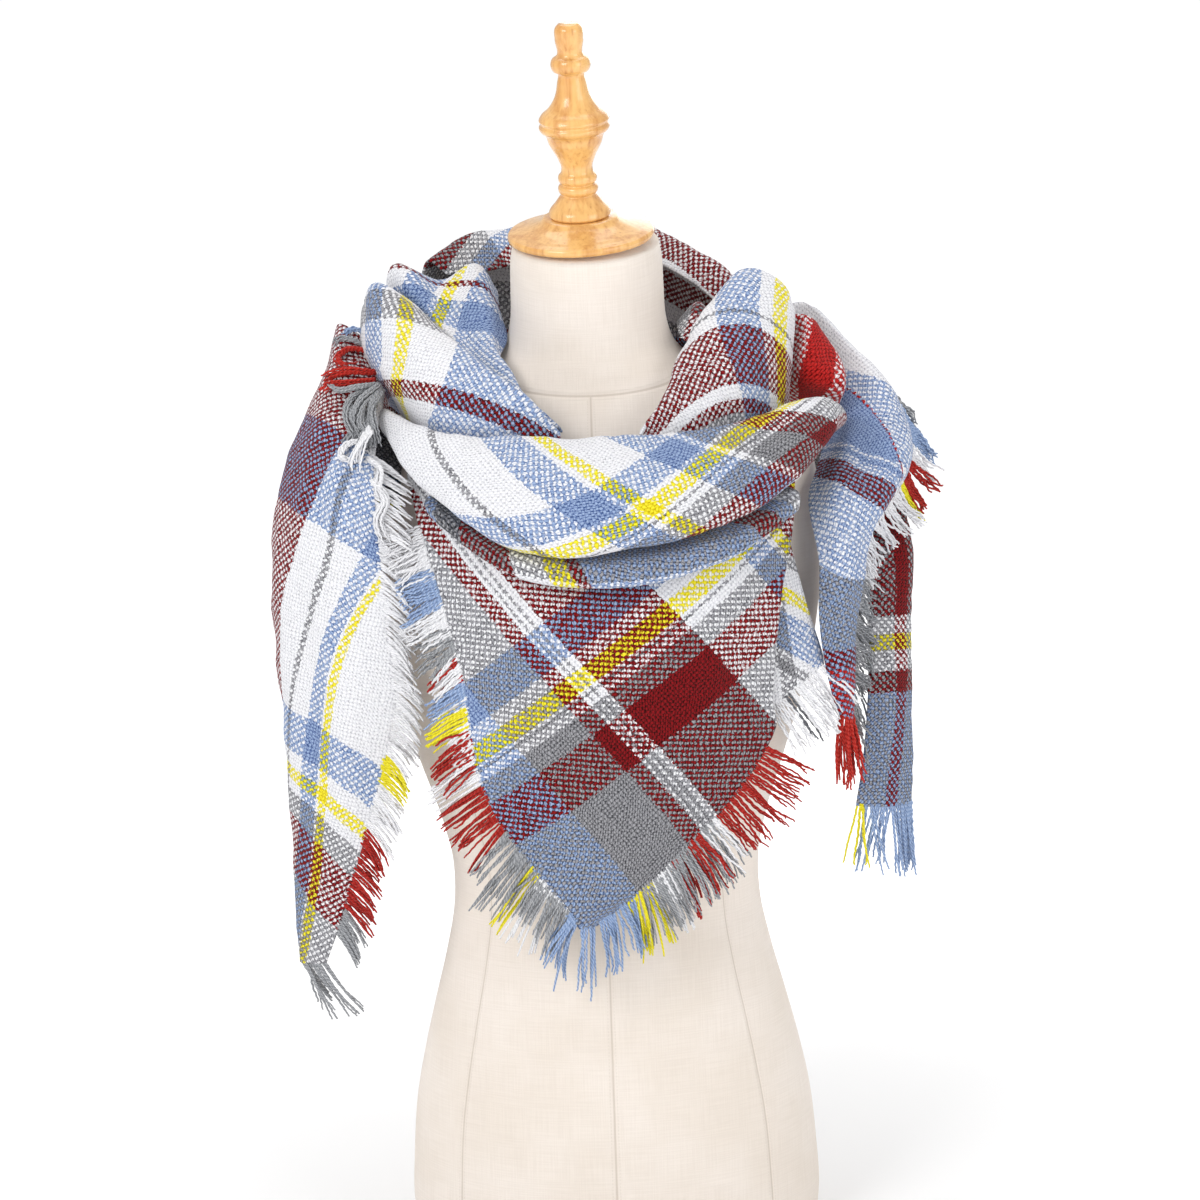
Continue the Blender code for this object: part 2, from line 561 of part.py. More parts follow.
def make_material(name, colour, roughness):
    material = bpy.data.materials.new(name)
    material.use_nodes = True
    shader = material.node_tree.nodes["Principled BSDF"]
    shader.inputs["Base Color"].default_value = (*colour, 1.0)
    shader.inputs["Roughness"].default_value = roughness
    return material


def make_object(name, vertices, faces, colour, roughness):
    mesh = bpy.data.meshes.new(name)
    mesh.from_pydata([tuple(float(c) * MM for c in v) for v in vertices], [], faces)
    mesh.update()
    if signed_volume(mesh) < 0:
        mesh.flip_normals()
    mesh.materials.append(make_material(name, colour, roughness))
    made = bpy.data.objects.new(name, mesh)
    bpy.context.scene.collection.objects.link(made)
    return made


def signed_volume(mesh):
    mesh.calc_loop_triangles()
    points = [v.co for v in mesh.vertices]
    total = 0.0
    for triangle in mesh.loop_triangles:
        a, b, c = (points[i] for i in triangle.vertices)
        total += a.dot(b.cross(c))
    return total / 6


def main():
    for old in list(bpy.data.objects):
        bpy.data.objects.remove(old)
    make_object("form_body", *form_body(), (0.83, 0.77, 0.68), 0.9)
    make_object("form_neck_cap", *turned_piece(CAP_RINGS, CAP_SIDES), (0.72, 0.42, 0.14), 0.3)
    make_object("form_finial", *turned_piece(FINIAL_RINGS, FINIAL_SIDES), (0.72, 0.40, 0.12), 0.3)
    grids = {"left_shoulder_hem": sheet_points(LEFT_SHOULDER_HEM, 8, 2)}
    for name, sections, along, across, colour in STRETCHES:
        grids[name] = sheet_points(sections, along, across)
        make_object(name, *walled_sheet(grids[name], CLOTH_WALL), colour, 0.9)
    for name, stretch, *hem, colour in FRINGES:
        make_object(name, *fringe(grids[stretch], *hem), colour, 0.9)


main()
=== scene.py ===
"""Detailed model of the plaid blanket scarf on its dress form, fitted over the solids of the CAD frame.

Lengths in the tables are millimetres; the scene is in metres. X runs to the viewer's right, Y away from the
viewer and Z up. Each cloth stretch is a fine sheet through the same named sections as its solid. It is laid
flat by relaxing its facets, and the flat coordinates carry the plaid and the weave.
"""

import math

import bmesh
import bpy
import numpy as np
from mathutils import Matrix, Vector


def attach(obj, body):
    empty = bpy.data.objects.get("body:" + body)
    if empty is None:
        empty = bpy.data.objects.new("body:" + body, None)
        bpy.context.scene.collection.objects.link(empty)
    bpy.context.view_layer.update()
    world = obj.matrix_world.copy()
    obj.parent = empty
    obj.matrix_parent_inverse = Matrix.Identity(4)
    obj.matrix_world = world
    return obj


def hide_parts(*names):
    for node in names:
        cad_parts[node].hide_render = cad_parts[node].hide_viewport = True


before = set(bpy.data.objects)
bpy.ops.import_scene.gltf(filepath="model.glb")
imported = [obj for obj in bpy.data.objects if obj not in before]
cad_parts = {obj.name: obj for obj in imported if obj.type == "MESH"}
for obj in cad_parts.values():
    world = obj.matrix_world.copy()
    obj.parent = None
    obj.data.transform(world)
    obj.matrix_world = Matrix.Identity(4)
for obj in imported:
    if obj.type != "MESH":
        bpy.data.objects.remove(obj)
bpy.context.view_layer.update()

MM = 0.001
TURN = 2 * math.pi
TINY = 1e-6
ONES = (1.0, 1.0, 1.0)

CLOTH_STEP = 3.6   # spacing of the fine sheet's points
FLAT_EVERY = 3                       # every third point of it is relaxed flat
FLAT_TURNS = 500
FLAT_PULL = 1.6                      # each turn of it overshoots, so that the lengths settle sooner
LEAST_WIDTH = 1e-3                   # between two guide lines
CLOTH_WALL = 2.1                     # thickness of the brushed cloth
CLOTH_LIFT = 0.5                     # how far it stands off its sections
RIM_BULGE = 0.8                      # how far the rounded hem stands out of the wall
EDGE_REACH = 16.0                    # the relief fades within this distance of an edge
EDGE_RELIEF = 0.25                   # share of it that is left there
YARN_PITCH = 2.85                    # distance between yarns in the weave

STRAND_PITCH = 1.6                   # distance between fringe strands along a hem
STRAND_RADIUS = 0.95
STRAND_TAPER = 0.35                  # share of the radius lost towards the end
STRAND_SIDES = 5
STRAND_POINTS = 20
STRAND_CRIMP = 6.0                   # length of the small waves that the weave leaves in a loose yarn
CRIMP_WIDTH = 0.42
STRAND_LEAN = 0.06                   # how far single strands stray from their lock's direction
LOCK_LEAN = 0.13                     # and locks from their hem's
LOCK_STARTS = 0.22                   # share of the strands that start a new lock
LOCK_LENGTHS = (0.86, 1.12)          # random shares of the length that the table gives
STRAND_LENGTHS = (0.86, 1.06)        # and of the lock's
STRAND_SHIFT = 0.35                  # random shift along the hem, as a share of the pitch
CURL_WIDTHS = (0.5, 2.0)
ROOT_DEPTH = 1.6                     # how far inside the hem a strand starts
ROOT_HEIGHTS = (-0.5, 0.9)           # and how far off the cloth's middle
LOCK_STEPS = 40
HEM_FACETS = (24, 2)                 # of the root line over the left shoulder
FRINGE_SEED = 29
LEAST_FILL = 0.31                    # least share of the flat box taken as a sheet's area

FORM_INSET = 1.3                     # the smooth torso stays inside the faceted one
FORM_SIDES = 144
TORSO_RINGS = 150
CAP_SIDES = 120
FINIAL_SIDES = 96
TURNED_FINENESS = 14                 # rings for each row of a turned piece's table
WELD_REACH = 1e-6                    # metres

# ------------------------------------------------------------- dress form

# One row for each ring of the torso and neck: height, half width, front, back, forward tilt in degrees.
FORM_RINGS = [
    # height, half_width, front, back, tilt
    (0, 160, -104, 108, 0),
    (22, 162.5, -105, 110, 0),
    (62, 161, -106, 112, 0),
    (105, 157, -104, 110, 0),
    (150, 148, -98, 103, 0),
    (186, 139, -91, 95, 0),
    (226, 128.5, -85, 86, 0),
    (264, 121, -81, 80, 0),
    (300, 120.5, -83, 78, 0),
    (332, 127, -91, 82, 0),
    (380, 142, -106, 92, 0),
    (430, 157, -119, 99, 0),
    (480, 168, -126, 103, 0),
    (525, 173, -124, 106, 0),
    (565, 174, -112, 107, 0),
    (600, 171, -97, 106, 0),
    (632, 161, -82, 102, 0),
    (655, 138, -71, 94, 0),
    (671, 108, -64, 84, 0),
    (684, 82, -61, 73, 1),
    (699, 66, -59, 63, 4),
    (716, 60.5, -60, 56, 8),
    (742, 59, -65, 50, 12),
    (764, 58, -71, 44, 14),
    (775, 56, -73, 38, 14),
    (777, 52, -69, 34, 14),
]

# Height of the rounded foot's rings and how much they grow; the lowest rings of the table give way to them.
FORM_FOOT = [(0.0, -5.0), (0.6, -2.4), (2.2, -0.8), (5.0, 0.0)]
FOOT_TOP = 9.0

# Upright seams, as shares of a turn from the back, and the height of the neck seam.
SEAM_TURNS = (0.0, 0.134, 0.25, 0.366, 0.5, 0.634, 0.75, 0.866, 1.0)
NECK_SEAM_FRONT = 664.0
NECK_SEAM_SIDE = 687.0
NECK_SEAM_BACK = 706.0

# The wooden cap and the finial stand on one axis that leans forward and a little to the left.
AXIS_FOOT = (-3.0, -18.0, 778.0)
AXIS_FORWARD = 14.0
AXIS_LEFT = 1.6

# One row for each turned ring: distance along the axis, radius.
CAP_RINGS = [
    (0.8, 50.0),
    (1.8, 54.4),
    (4.0, 55.0),
    (6.2, 54.2),
    (7.4, 51.0),
    (9.0, 44.5),
    (11.5, 36.0),
    (14.5, 30.0),
    (17.0, 27.5),
]

FINIAL_RINGS = [
    (17.5, 21.5),
    (19.0, 23.0),
    (22.0, 22.6),
    (28.0, 18.0),
    (33.0, 14.2),
    (34.5, 13.0),
    (36.5, 14.4),
    (41.0, 14.4),
    (42.6, 12.6),
    (44.5, 14.0),
    (49.0, 14.0),
    (51.0, 12.2),
    (54.0, 11.6),
    (62.0, 13.8),
    (73.0, 19.5),
    (81.0, 22.6),
    (83.0, 25.2),
    (86.0, 26.2),
    (88.5, 25.0),
    (91.0, 26.0),
    (94.0, 24.6),
    (99.0, 19.0),
    (108.0, 13.2),
    (118.0, 10.8),
    (125.5, 10.2),
    (127.0, 13.0),
    (131.5, 14.7),
    (136.0, 13.4),
    (138.5, 10.0),
    (150.0, 10.4),
    (159.0, 9.6),
    (161.3, 7.6),
]

# ------------------------------------------------------------ scarf stretches

# Each table lists the sections of one stretch in order. A section is a row of (x, y, z) points, and the
# columns are named at the top of its table. STRETCHES says what each lies on.

FRONT_PANEL = [
    # left, left_mid, centre, right_mid, right
    ((-138, -62, 612), (-75, -100, 608), (2, -110, 603), (80, -101, 604), (150, -62, 612)),
    ((-128, -94, 572), (-68, -121, 560), (6, -129, 550), (78, -122, 554), (145, -86, 563)),
    ((-112, -108, 511), (-58, -134, 502), (9, -140, 495), (78, -135, 500), (134, -103, 512)),
    ((-100, -118, 460), (-48, -136, 452), (12, -139, 446), (74, -134, 445), (126, -111, 443)),
    ((-93, -126, 400), (-44, -135, 396), (12, -137, 394), (72, -132, 402), (126, -115, 416)),
    ((-77, -129, 359), (-36, -134, 356), (6, -134, 358), (58, -131, 366), (98, -123, 374)),
    ((-50, -131, 318), (-26, -132, 320), (0, -132, 324), (30, -131, 330), (62, -128, 338)),
    ((-32, -131, 295), (-16, -132, 295), (-2, -132, 298), (12, -131, 300), (26, -130, 304)),
    ((-21, -131, 277), (-18, -131, 277), (-15, -131, 277), (-12, -131, 278), (-9, -131, 279)),
]

FRONT_UNDER_LAYER = [
    # hidden_side, middle, free_side
    ((112, -98, 566), (128, -92, 562.4), (142, -80, 556)),
    ((111.1, -98.7, 511.6), (134, -96, 510), (154, -84, 508)),
    ((118, -106, 468), (142, -98, 468), (165, -86, 470)),
    ((124, -104, 430), (145, -99, 446), (166, -89, 462)),
]

COWL_LOWER_FOLD = [
    # top, face, low_edge, under_lip
    ((-120, -98, 598), (-123, -105, 592), (-118, -107, 584), (-112, -99.6, 585)),
    ((-95, -113, 583), (-98, -125, 577), (-94, -127, 566), (-89, -114.2, 564.8)),
    ((-66, -130, 569), (-69, -143, 560), (-67, -145, 550), (-65, -134, 550)),
    ((-38, -139, 562), (-41, -154, 551), (-40, -152, 541), (-39, -141, 541)),
    ((-8, -143, 560), (-10, -158, 549), (-10, -156, 538), (-9, -144, 539)),
    ((32, -143, 562), (33, -158, 550), (32, -156, 538), (31, -144, 540)),
    ((72, -136, 569), (76, -150, 559), (75, -149, 547), (73, -138, 548)),
    ((107, -117, 578), (112, -131, 570), (110, -132, 558), (106, -121, 560)),
    ((142, -92, 595), (150, -101, 590), (148, -103, 580), (144, -95, 581)),
]

LEFT_UNDER_FOLD = [
    # outer, middle, inner
    ((-170, -22, 662), (-162, -26, 654), (-151.2, -19.2, 641.6)),
    ((-168, -48, 638), (-158, -50, 630), (-143.8, -40.4, 619.4)),
    ((-161, -72, 612), (-152, -70, 606), (-144, -60, 600)),
    ((-159, -80, 592), (-151, -76, 588), (-143, -68, 584)),
]

COWL_ROLL = [
    # back_lip, rim, belly, low_edge, under_lip
    ((-150, -32, 648), (-153, -42, 656), (-157, -54, 650), (-152, -60, 641), (-146, -52, 636)),
    ((-122.5, -68, 638.7), (-130, -81, 649), (-137, -99, 633), (-129, -103, 613), (-122, -94, 607)),
    ((-96.8, -95.5, 630), (-103, -107, 642), (-107, -131, 619), (-96, -135, 588), (-92, -123, 584)),
    ((-64, -114, 628), (-66, -123, 642), (-68, -153, 612), (-59, -156, 568), (-57, -142.5, 563.4)),
    ((-23, -122, 627), (-23, -131, 641), (-24, -167, 606), (-22, -165, 562), (-22, -151, 562)),
    ((20, -122, 626), (20, -131, 640), (21, -168, 606), (21, -165, 565), (21, -151, 565)),
    ((62, -114, 627), (64, -123, 640), (70, -157, 612), (69, -157, 573), (67, -144, 573)),
    ((104, -97, 632), (108, -106, 644), (116, -133, 622), (113, -135, 586), (110, -123, 585)),
    ((141, -66, 642), (146, -75, 654), (156, -100, 640), (152, -105, 608), (148, -94, 603)),
    ((166, -38, 640), (171, -46, 652), (181, -58, 650), (179, -65, 634), (173, -57, 628)),
    ((174, -16, 638), (180, -20, 646), (189, -24, 644), (189, -28, 633), (182, -24, 627)),
]

LEFT_SHOULDER_OUTER = [
    # hem, face, crest, turned
    ((-21, -106, 622), (-22, -113, 631), (-24, -113, 643), (-25, -109, 641)),
    ((-50, -104, 622), (-52, -111, 645), (-52, -101, 671), (-51, -95, 668)),
    ((-80, -94, 622), (-84, -101, 655), (-77, -81, 689), (-74, -74, 687)),
    ((-104, -80, 624), (-110, -89, 666), (-98, -63, 705), (-94, -56, 702)),
    ((-122, -58, 635), (-134, -69, 680), (-117, -47, 719), (-111, -39, 715)),
    ((-138, -30, 648), (-155, -44, 692), (-138, -30, 738), (-131, -20, 733)),
    ((-152, -5, 656), (-168, -16, 702), (-154, -12, 747), (-147, -2, 742)),
    ((-160, 16, 652), (-172, 16, 702), (-161, 18, 744), (-155, 22, 738)),
    ((-160, 46, 650), (-169, 46, 694), (-158, 46, 730), (-152, 46, 726)),
]

LEFT_SHOULDER_INNER = [
    # hidden, outer_lobe, valley, inner_lobe, neck_side
    ((-36, -87, 631), (-32, -92, 637), (-29, -93, 642), (-25, -92, 645), (-22, -88, 641)),
    ((-64, -76, 646), (-60, -82, 658), (-54, -83, 663), (-47, -79, 665), (-44, -75, 656)),
    ((-92, -58, 663), (-83, -61, 679), (-72, -61, 683), (-61, -59, 685), (-56, -58, 676)),
    ((-106, -32, 678), (-97, -42, 699), (-84, -42, 697), (-71, -40, 700), (-67, -38, 690)),
    ((-128, -8, 698), (-121, -14, 727), (-99, -18, 719), (-76, -17, 724), (-61.9, -15, 705.2)),
    ((-144, 10, 714), (-137, 6, 752), (-111, 8, 743), (-81, 5, 749), (-68, 3, 726)),
    ((-154, 29, 722), (-145, 25, 760), (-113, 28, 747), (-84, 24, 758), (-69, 20, 738)),
    ((-146, 45, 716), (-138, 43, 750), (-111, 45, 739), (-86, 42, 752), (-73, 38, 738)),
]

NAPE_BAND = [
    # low_edge, outer_face, crest, neck_side
    ((-124, 60, 714.8), (-128, 64, 742), (-121, 62, 760), (-108, 60, 750)),
    ((-114, 92, 702.8), (-110, 96, 742), (-93, 82, 776), (-74, 62, 752)),
    ((-74, 126, 692), (-71, 122, 742), (-60, 94, 782), (-50, 68, 758)),
    ((0, 146, 686), (0, 137, 742), (0, 100, 785), (0, 70, 762)),
    ((62, 126, 690), (59, 120, 736), (52, 88, 777), (44, 64, 758)),
    ((98, 86, 694), (95, 80, 732), (80, 58, 762), (64, 44, 750)),
    ((115, 60, 694), (115, 54, 728), (101, 42, 749), (86, 30, 736)),
    ((122, 44, 698), (123, 40, 719), (110, 32, 736), (99, 20, 724)),
]

RIGHT_UNDER_BAND = [
    # hidden, crest, neck_side
    ((98, 30, 688), (84, 30, 714), (70, 28, 706)),
    ((98, 8, 690), (83, 8, 724), (68, 7, 710)),
    ((92, -14, 686), (80.5, -15, 712.4), (69, -14, 704)),
    ((88.6, -19.4, 677.8), (79.6, -24.4, 694.6), (72, -22, 700)),
]

RIGHT_SHOULDER_WRAP = [
    # hem, face, crest, turned
    ((33, -104, 622), (34, -109, 631), (37, -108, 641), (39, -102, 637)),
    ((56, -102, 622), (58, -99, 645), (57, -77, 665), (60, -66, 661)),
    ((78, -94, 624), (80, -86, 662), (70, -44, 693), (75, -37, 690)),
    ((102, -80, 628), (108, -68, 682), (93, -16, 726), (98, -4, 719)),
    ((126, -62, 634), (133, -47, 692), (122, 0, 749), (124, 12, 742)),
    ((139, -42, 642), (148, -28, 690), (148, 2, 735), (147, 14, 728)),
    ((148, -20, 650), (153, -13, 688), (154, 0, 718), (151, 12, 712)),
]

RIGHT_SHOULDER_ROLL = [
    # inner, front, side, back
    ((153.3, 12.8, 711.5), (164, 6, 713), (172, 7, 708), (175, 24, 700)),
    ((158, 6, 694), (167, -4, 703), (178, -2, 697), (182, 20, 688)),
    ((157, -4, 677), (169, -16, 687), (188, -8, 678), (189, 16, 669)),
    ((158, -10, 664), (171, -24, 669), (190, -15, 662), (189, 10, 655)),
    ((161, 4, 647), (172, -3, 650), (183, -2, 643), (187.1, 15, 636.7)),
]

BACK_DRAPE = [
    # top, shoulder, middle, lower, hem
    ((-142, 54, 712), (-156, 56, 692), (-170, 56, 655), (-182, 54, 612), (-188, 52, 570)),
    ((-114, 76, 708), (-130, 88, 690), (-144, 98, 650), (-152, 102, 600), (-154, 98, 548)),
    ((-62, 100, 702), (-72, 120, 686), (-84, 134, 642), (-90, 134, 584), (-90, 118, 524)),
    ((0, 108, 698), (0, 128, 682), (0, 144, 636), (0, 138, 574), (0, 105.5, 506)),
    ((62, 100, 692), (72, 118, 676), (84, 132, 634), (88, 132, 580), (90, 118, 522)),
    ((112, 74, 688), (128, 86, 672), (142, 96, 636), (150, 102, 592), (152, 98, 546)),
    ((146, 50, 690), (160, 52, 670), (172, 54, 640), (182, 52, 604), (188, 50, 568)),
]

BACK_CROSS = [
    # upper_edge, middle, lower_edge
    ((-150, 78, 704), (-168, 74, 666), (-186, 68, 622)),
    ((-126, 110, 698), (-146, 112, 656), (-160, 112, 606)),
    ((-66, 146, 684), (-82, 152, 632), (-94, 150, 576)),
    ((4, 158, 668), (-4, 164, 606), (-14, 160, 544)),
    ((74, 148, 652), (72, 156, 590), (66, 152, 530)),
    ((133.4, 112, 639.6), (139.4, 116, 583.4), (139.4, 114, 533.6)),
    ((174, 71, 640), (186, 71, 594), (192, 69, 552)),
]

LEFT_TAIL = [
    # front_edge, face, outer, back_edge
    ((-172.6, -3.5, 706), (-181, 0, 715), (-190, 12, 716), (-190, 34, 708)),
    ((-169, -40, 672), (-184, -30, 684), (-199, 0, 684), (-196, 30, 678)),
    ((-165, -70, 642), (-190, -60, 652), (-216, -14, 650), (-209, 26, 644)),
    ((-161, -95, 608), (-193, -88, 612), (-233, -30, 606), (-226, 20, 602)),
    ((-159, -100, 562), (-196, -95, 563), (-243, -36, 560), (-234, 14, 560)),
    ((-157, -100, 508), (-196, -96, 509), (-245, -39, 508), (-236, 6, 508)),
    ((-152, -98, 446), (-192, -94, 450), (-242, -42, 450), (-234, -2, 450)),
    ((-162, -92, 402), (-199, -88, 401), (-239, -44, 400), (-232, -10, 400)),
    ((-184, -80, 330), (-207, -78, 330), (-237, -48, 330), (-231, -22, 330)),
    ((-203, -70, 272), (-217, -69, 272), (-237, -51, 270), (-233, -36, 270)),
    ((-216, -65, 238), (-224, -63, 237), (-236, -55, 236), (-235, -48, 236)),
]

RIGHT_TAIL = [
    # front_edge, face, outer, back_edge
    ((158, 62, 718), (168, 57, 719), (178, 53, 713), (184, 66, 707)),
    ((168, 50, 683), (185, 44, 698), (200, 40, 688), (206, 60, 681)),
    ((179, 36, 651), (200, 28, 666), (224, 20, 660), (234, 44, 648)),
    ((181, 18, 624), (200, 2, 636), (232, -2, 638), (245, 24, 620)),
    ((176, -22, 602), (192, -34, 614), (233, -30, 610), (241, 2, 594)),
    ((164, -62, 580), (184, -74, 587), (216, -62, 582), (222, -34, 573)),
    ((165, -88, 540), (184, -93, 545), (201, -75, 551), (198, -52, 551)),
    ((164, -91, 500), (180, -96, 503), (193, -81, 506), (190, -56, 506)),
    ((168, -93, 460), (178, -97, 459), (188, -85, 457), (186, -64, 457)),
    ((176, -93, 424), (181, -94, 421), (187, -87, 419), (186, -76, 419)),
]

RIGHT_TAIL_UNDER = [
    # front_edge, face, outer, back_edge
    ((206, -12, 604), (218, -25.8, 607), (227.5, -26.8, 606), (231, -7, 600)),
    ((211, -10, 562), (223, -6, 563), (238, 4, 562), (236, 28, 560)),
    ((207, -28, 540), (222, -26, 540), (239, -12, 540), (235, 14, 540)),
    ((205, -42, 482), (222, -36, 481), (238, -20, 480), (233, 6, 480)),
    ((202, -56, 426), (220, -49, 425), (237, -27, 425), (232, -2, 425)),
    ((196, -62, 374), (216, -55, 373), (235, -33, 372), (230, -12, 372)),
    ((191, -64, 347), (213, -58, 344), (234, -37, 341), (229, -20, 341)),
]

# Root line of the tufts that lie turned back over the left tail. It only places them.
LEFT_SHOULDER_HEM = [
    # hem, over_the_face
    ((-171, -32, 699), (-177, -32, 700)),
    ((-170, -44.6, 671.2), (-176, -43.9, 673.2)),
    ((-163, -62.9, 654.4), (-168, -60.9, 658.4)),
    ((-156, -92, 640), (-161, -90, 645)),
]

# ------------------------------------------------------------------ plaid

# Yarn colours, linear.
COLOURS = {
    "W": (0.86, 0.86, 0.88),
    "R": (0.245, 0.007, 0.010),
    "S": (0.52, 0.020, 0.018),
    "B": (0.325, 0.425, 0.630),
    "G": (0.340, 0.340, 0.360),
    "Y": (0.86, 0.77, 0.035),
    # D is grey yarn darkened with painted shade, for cloth and yarns that lie in shadow.
    "D": (0.130, 0.135, 0.155),
}

# The two families of stripes of each stretch. A family has one to three guide lines, each with its
# coordinate and three or more points (down, over) of the flat cloth, and then its bands: colours and the
# coordinates where they change.
PLAID = {
    "scarf_front_panel": (
        ([(0, (37, -120), (142, -30), (247, 60))],
         ["B", -71.5, "G", -21.5, "R", -8, "W", -5, "G", -2.5, "W", 0.5, "G", 3, "W", 8.4, "R", 83.5,
          "W", 149, "B", 173, "W", 177, "Y", 187, "R"]),
        ([(0, (84, 60), (142, -20), (204, -105))],
         ["W", -48.5, "B", -18.5, "W", -7, "Y", 7, "W", 10, "G", 12, "W", 19.5, "G", 36.5, "R", 73.5, "G"]),
    ),
    "scarf_front_under_layer": (
        ([(0, (0, 0), (60, 2), (130, 0))],
         ["W", -12, "G", 0, "W"]),
        ([(0, (58, 20), (52, 12), (45, 0))],
         ["R", -30, "G", -20, "W", -5, "Y", 5, "W", 12, "B", 38, "W", 44, "G", 52, "W"]),
    ),
    "scarf_cowl_lower_fold": (
        ([(0, (110, 15), (100, 0), (90, -15))],
         ["B", -70, "D", -50, "R", -14, "W", 8, "Y", 22, "R", 30, "B", 140, "R", 160, "B", 172, "W", 184,
          "G", 200, "R"]),
        ([(0, (0, 0), (150, 0), (300, 0))],
         ["G", 6, "W"]),
    ),
    "scarf_cowl_roll": (
        ([(0, (268, 35), (219, 0), (177, -30))],
         ["W", -70, "G", -65, "W", -35, "B", -9, "W", -5, "Y", 5, "W", 34, "B", 60, "W", 66, "G", 92,
          "R", 112, "W"]),
        ([(0, (150, 60), (195, 50), (285, 2), (365, -25))],
         ["W", -33, "B", -10, "W", -6, "Y", 6, "W", 9, "G", 11, "W", 16, "G", 33, "R", 58, "W"]),
    ),
    "scarf_left_shoulder_outer": (
        ([(0, (20, -5), (110, -7), (210, -45))],
         ["W", -7, "R", 7, "W", 52, "G", 76, "W"]),
        ([(0, (165, 45), (145, 5), (150, -40))],
         ["B", -42, "W", -6, "Y", 6, "W", 20, "B", 44, "W"]),
    ),
    "scarf_left_shoulder_inner": (
        ([(0, (134, 12), (157, -20), (180, -52))],
         ["W", -13, "B", 13, "W", 26, "R", 32, "W"]),
        ([(0, (185, 22), (157, 2), (130, -17))],
         ["B", -16, "W", -5, "Y", 5, "W", 10, "B", 32, "W"]),
    ),
    # The under fold is charcoal almost all over: painted shade for grey cloth that lies in shadow.
    "scarf_left_under_fold": (
        ([(0, (0, 0), (40, 0), (90, 0))],
         ["D"]),
        ([(0, (45, 15), (45, 0), (45, -15))],
         ["G", 14, "B", 24, "D", 32, "Y", 38, "D"]),
    ),
    "scarf_nape_band": (
        ([(0, (0, 60), (160, 20), (320, -10))],
         ["G", -60, "W", -46, "R", -18, "W", -5, "B", 10, "R", 48, "W"]),
        ([(0, (160, 40), (160, 0), (160, -40))],
         ["G", -95, "W", -60, "G", -20, "B", 10, "W"]),
    ),
    "scarf_right_under_band": (
        ([(0, (0, 0), (30, 0), (60, 0))],
         ["R", 14, "G"]),
        ([(0, (28, 20), (28, 0), (28, -20))],
         ["W", 0, "G", 12, "W"]),
    ),
    "scarf_right_shoulder_wrap": (
        ([(0, (40, -18), (85, -18), (135, -38)), (45, (40, 10), (100, 28), (140, 8))],
         ["G", -20, "R", -10, "W", 0, "R", 45, "W", 58, "G", 62, "W"]),
        ([(0, (170, 40), (152, 0), (145, -40))],
         ["W", -50, "B", -18, "W", -7, "Y", 7, "W"]),
    ),
    "scarf_right_shoulder_roll": (
        ([(0, (0, 0), (40, 0), (80, 0))],
         ["S"]),
        ([(0, (0, 8), (40, -8), (80, -18))],
         ["W", -6, "S", 16, "W"]),
    ),
    "scarf_back_drape": (
        ([(0, (130, -80), (212, 0), (300, 80))],
         ["W", -150, "B", -120, "G", -86, "R", -42, "W", -16, "B", 12, "W", 18, "Y", 30, "W", 46, "B", 74,
          "W", 110, "G", 116, "W", 150, "R"]),
        ([(0, (300, -80), (216, 0), (130, 80))],
         ["G", -140, "W", -100, "B", -70, "W", -60, "Y", -48, "W", -30, "G", -8, "R", 34, "G", 64,
          "W", 104, "R", 150, "W"]),
    ),
    "scarf_back_cross": (
        ([(0, (100, -40), (220, 0), (340, 40))],
         ["B", -60, "W", -20, "Y", -8, "W", 10, "G", 28, "R"]),
        ([(0, (207, 40), (220, 0), (233, -40))],
         ["W", -140, "R", -90, "W", -50, "B", -20, "W", 30, "R", 76, "W", 100, "B", 130, "W"]),
    ),
    "scarf_left_tail": (
        ([(0, (208, -83), (265, -43), (367, -17), (484, 1)),
          (40, (171, -50), (223, -29), (259, -8), (300, 8)),
          (60, (94, -47), (171, -21), (205, -3), (245, 12))],
         ["W", -4, "Y", 4, "W", 6, "B", 21, "W", 38, "G", 42.5, "W", 60, "R"]),
        ([(-180, (138, 60), (158, -20), (196, -85)), (0, (350, 22), (364, -12), (393, -48))],
         ["W", -247, "B", -180, "W", -48, "B", -18, "W", -6, "Y", 6, "W", 14, "G", 34, "R", 75,
          "G", 120, "R"]),
    ),
    "scarf_right_tail": (
        ([(0, (76, -17), (99, -4), (124, 5), (200, 40))],
         ["B", 0, "S", 1.4, "W"]),
        ([(0, (192, 30), (192, 0), (172, -35))],
         ["W", -108, "B", -32, "W", -27, "B", -22, "W", -12, "R", 11, "W", 70, "G", 126, "R", 142,
          "S"]),
    ),
    "scarf_right_tail_under": (
        ([(0, (60, -8), (150, -5), (270, -8))],
         ["G", -8, "R", 4, "G"]),
        ([(0, (158, 20), (158, 0), (160, -30))],
         ["R", -20, "W", -6, "Y", 6, "W", 22, "R", 38, "B"]),
    ),
}

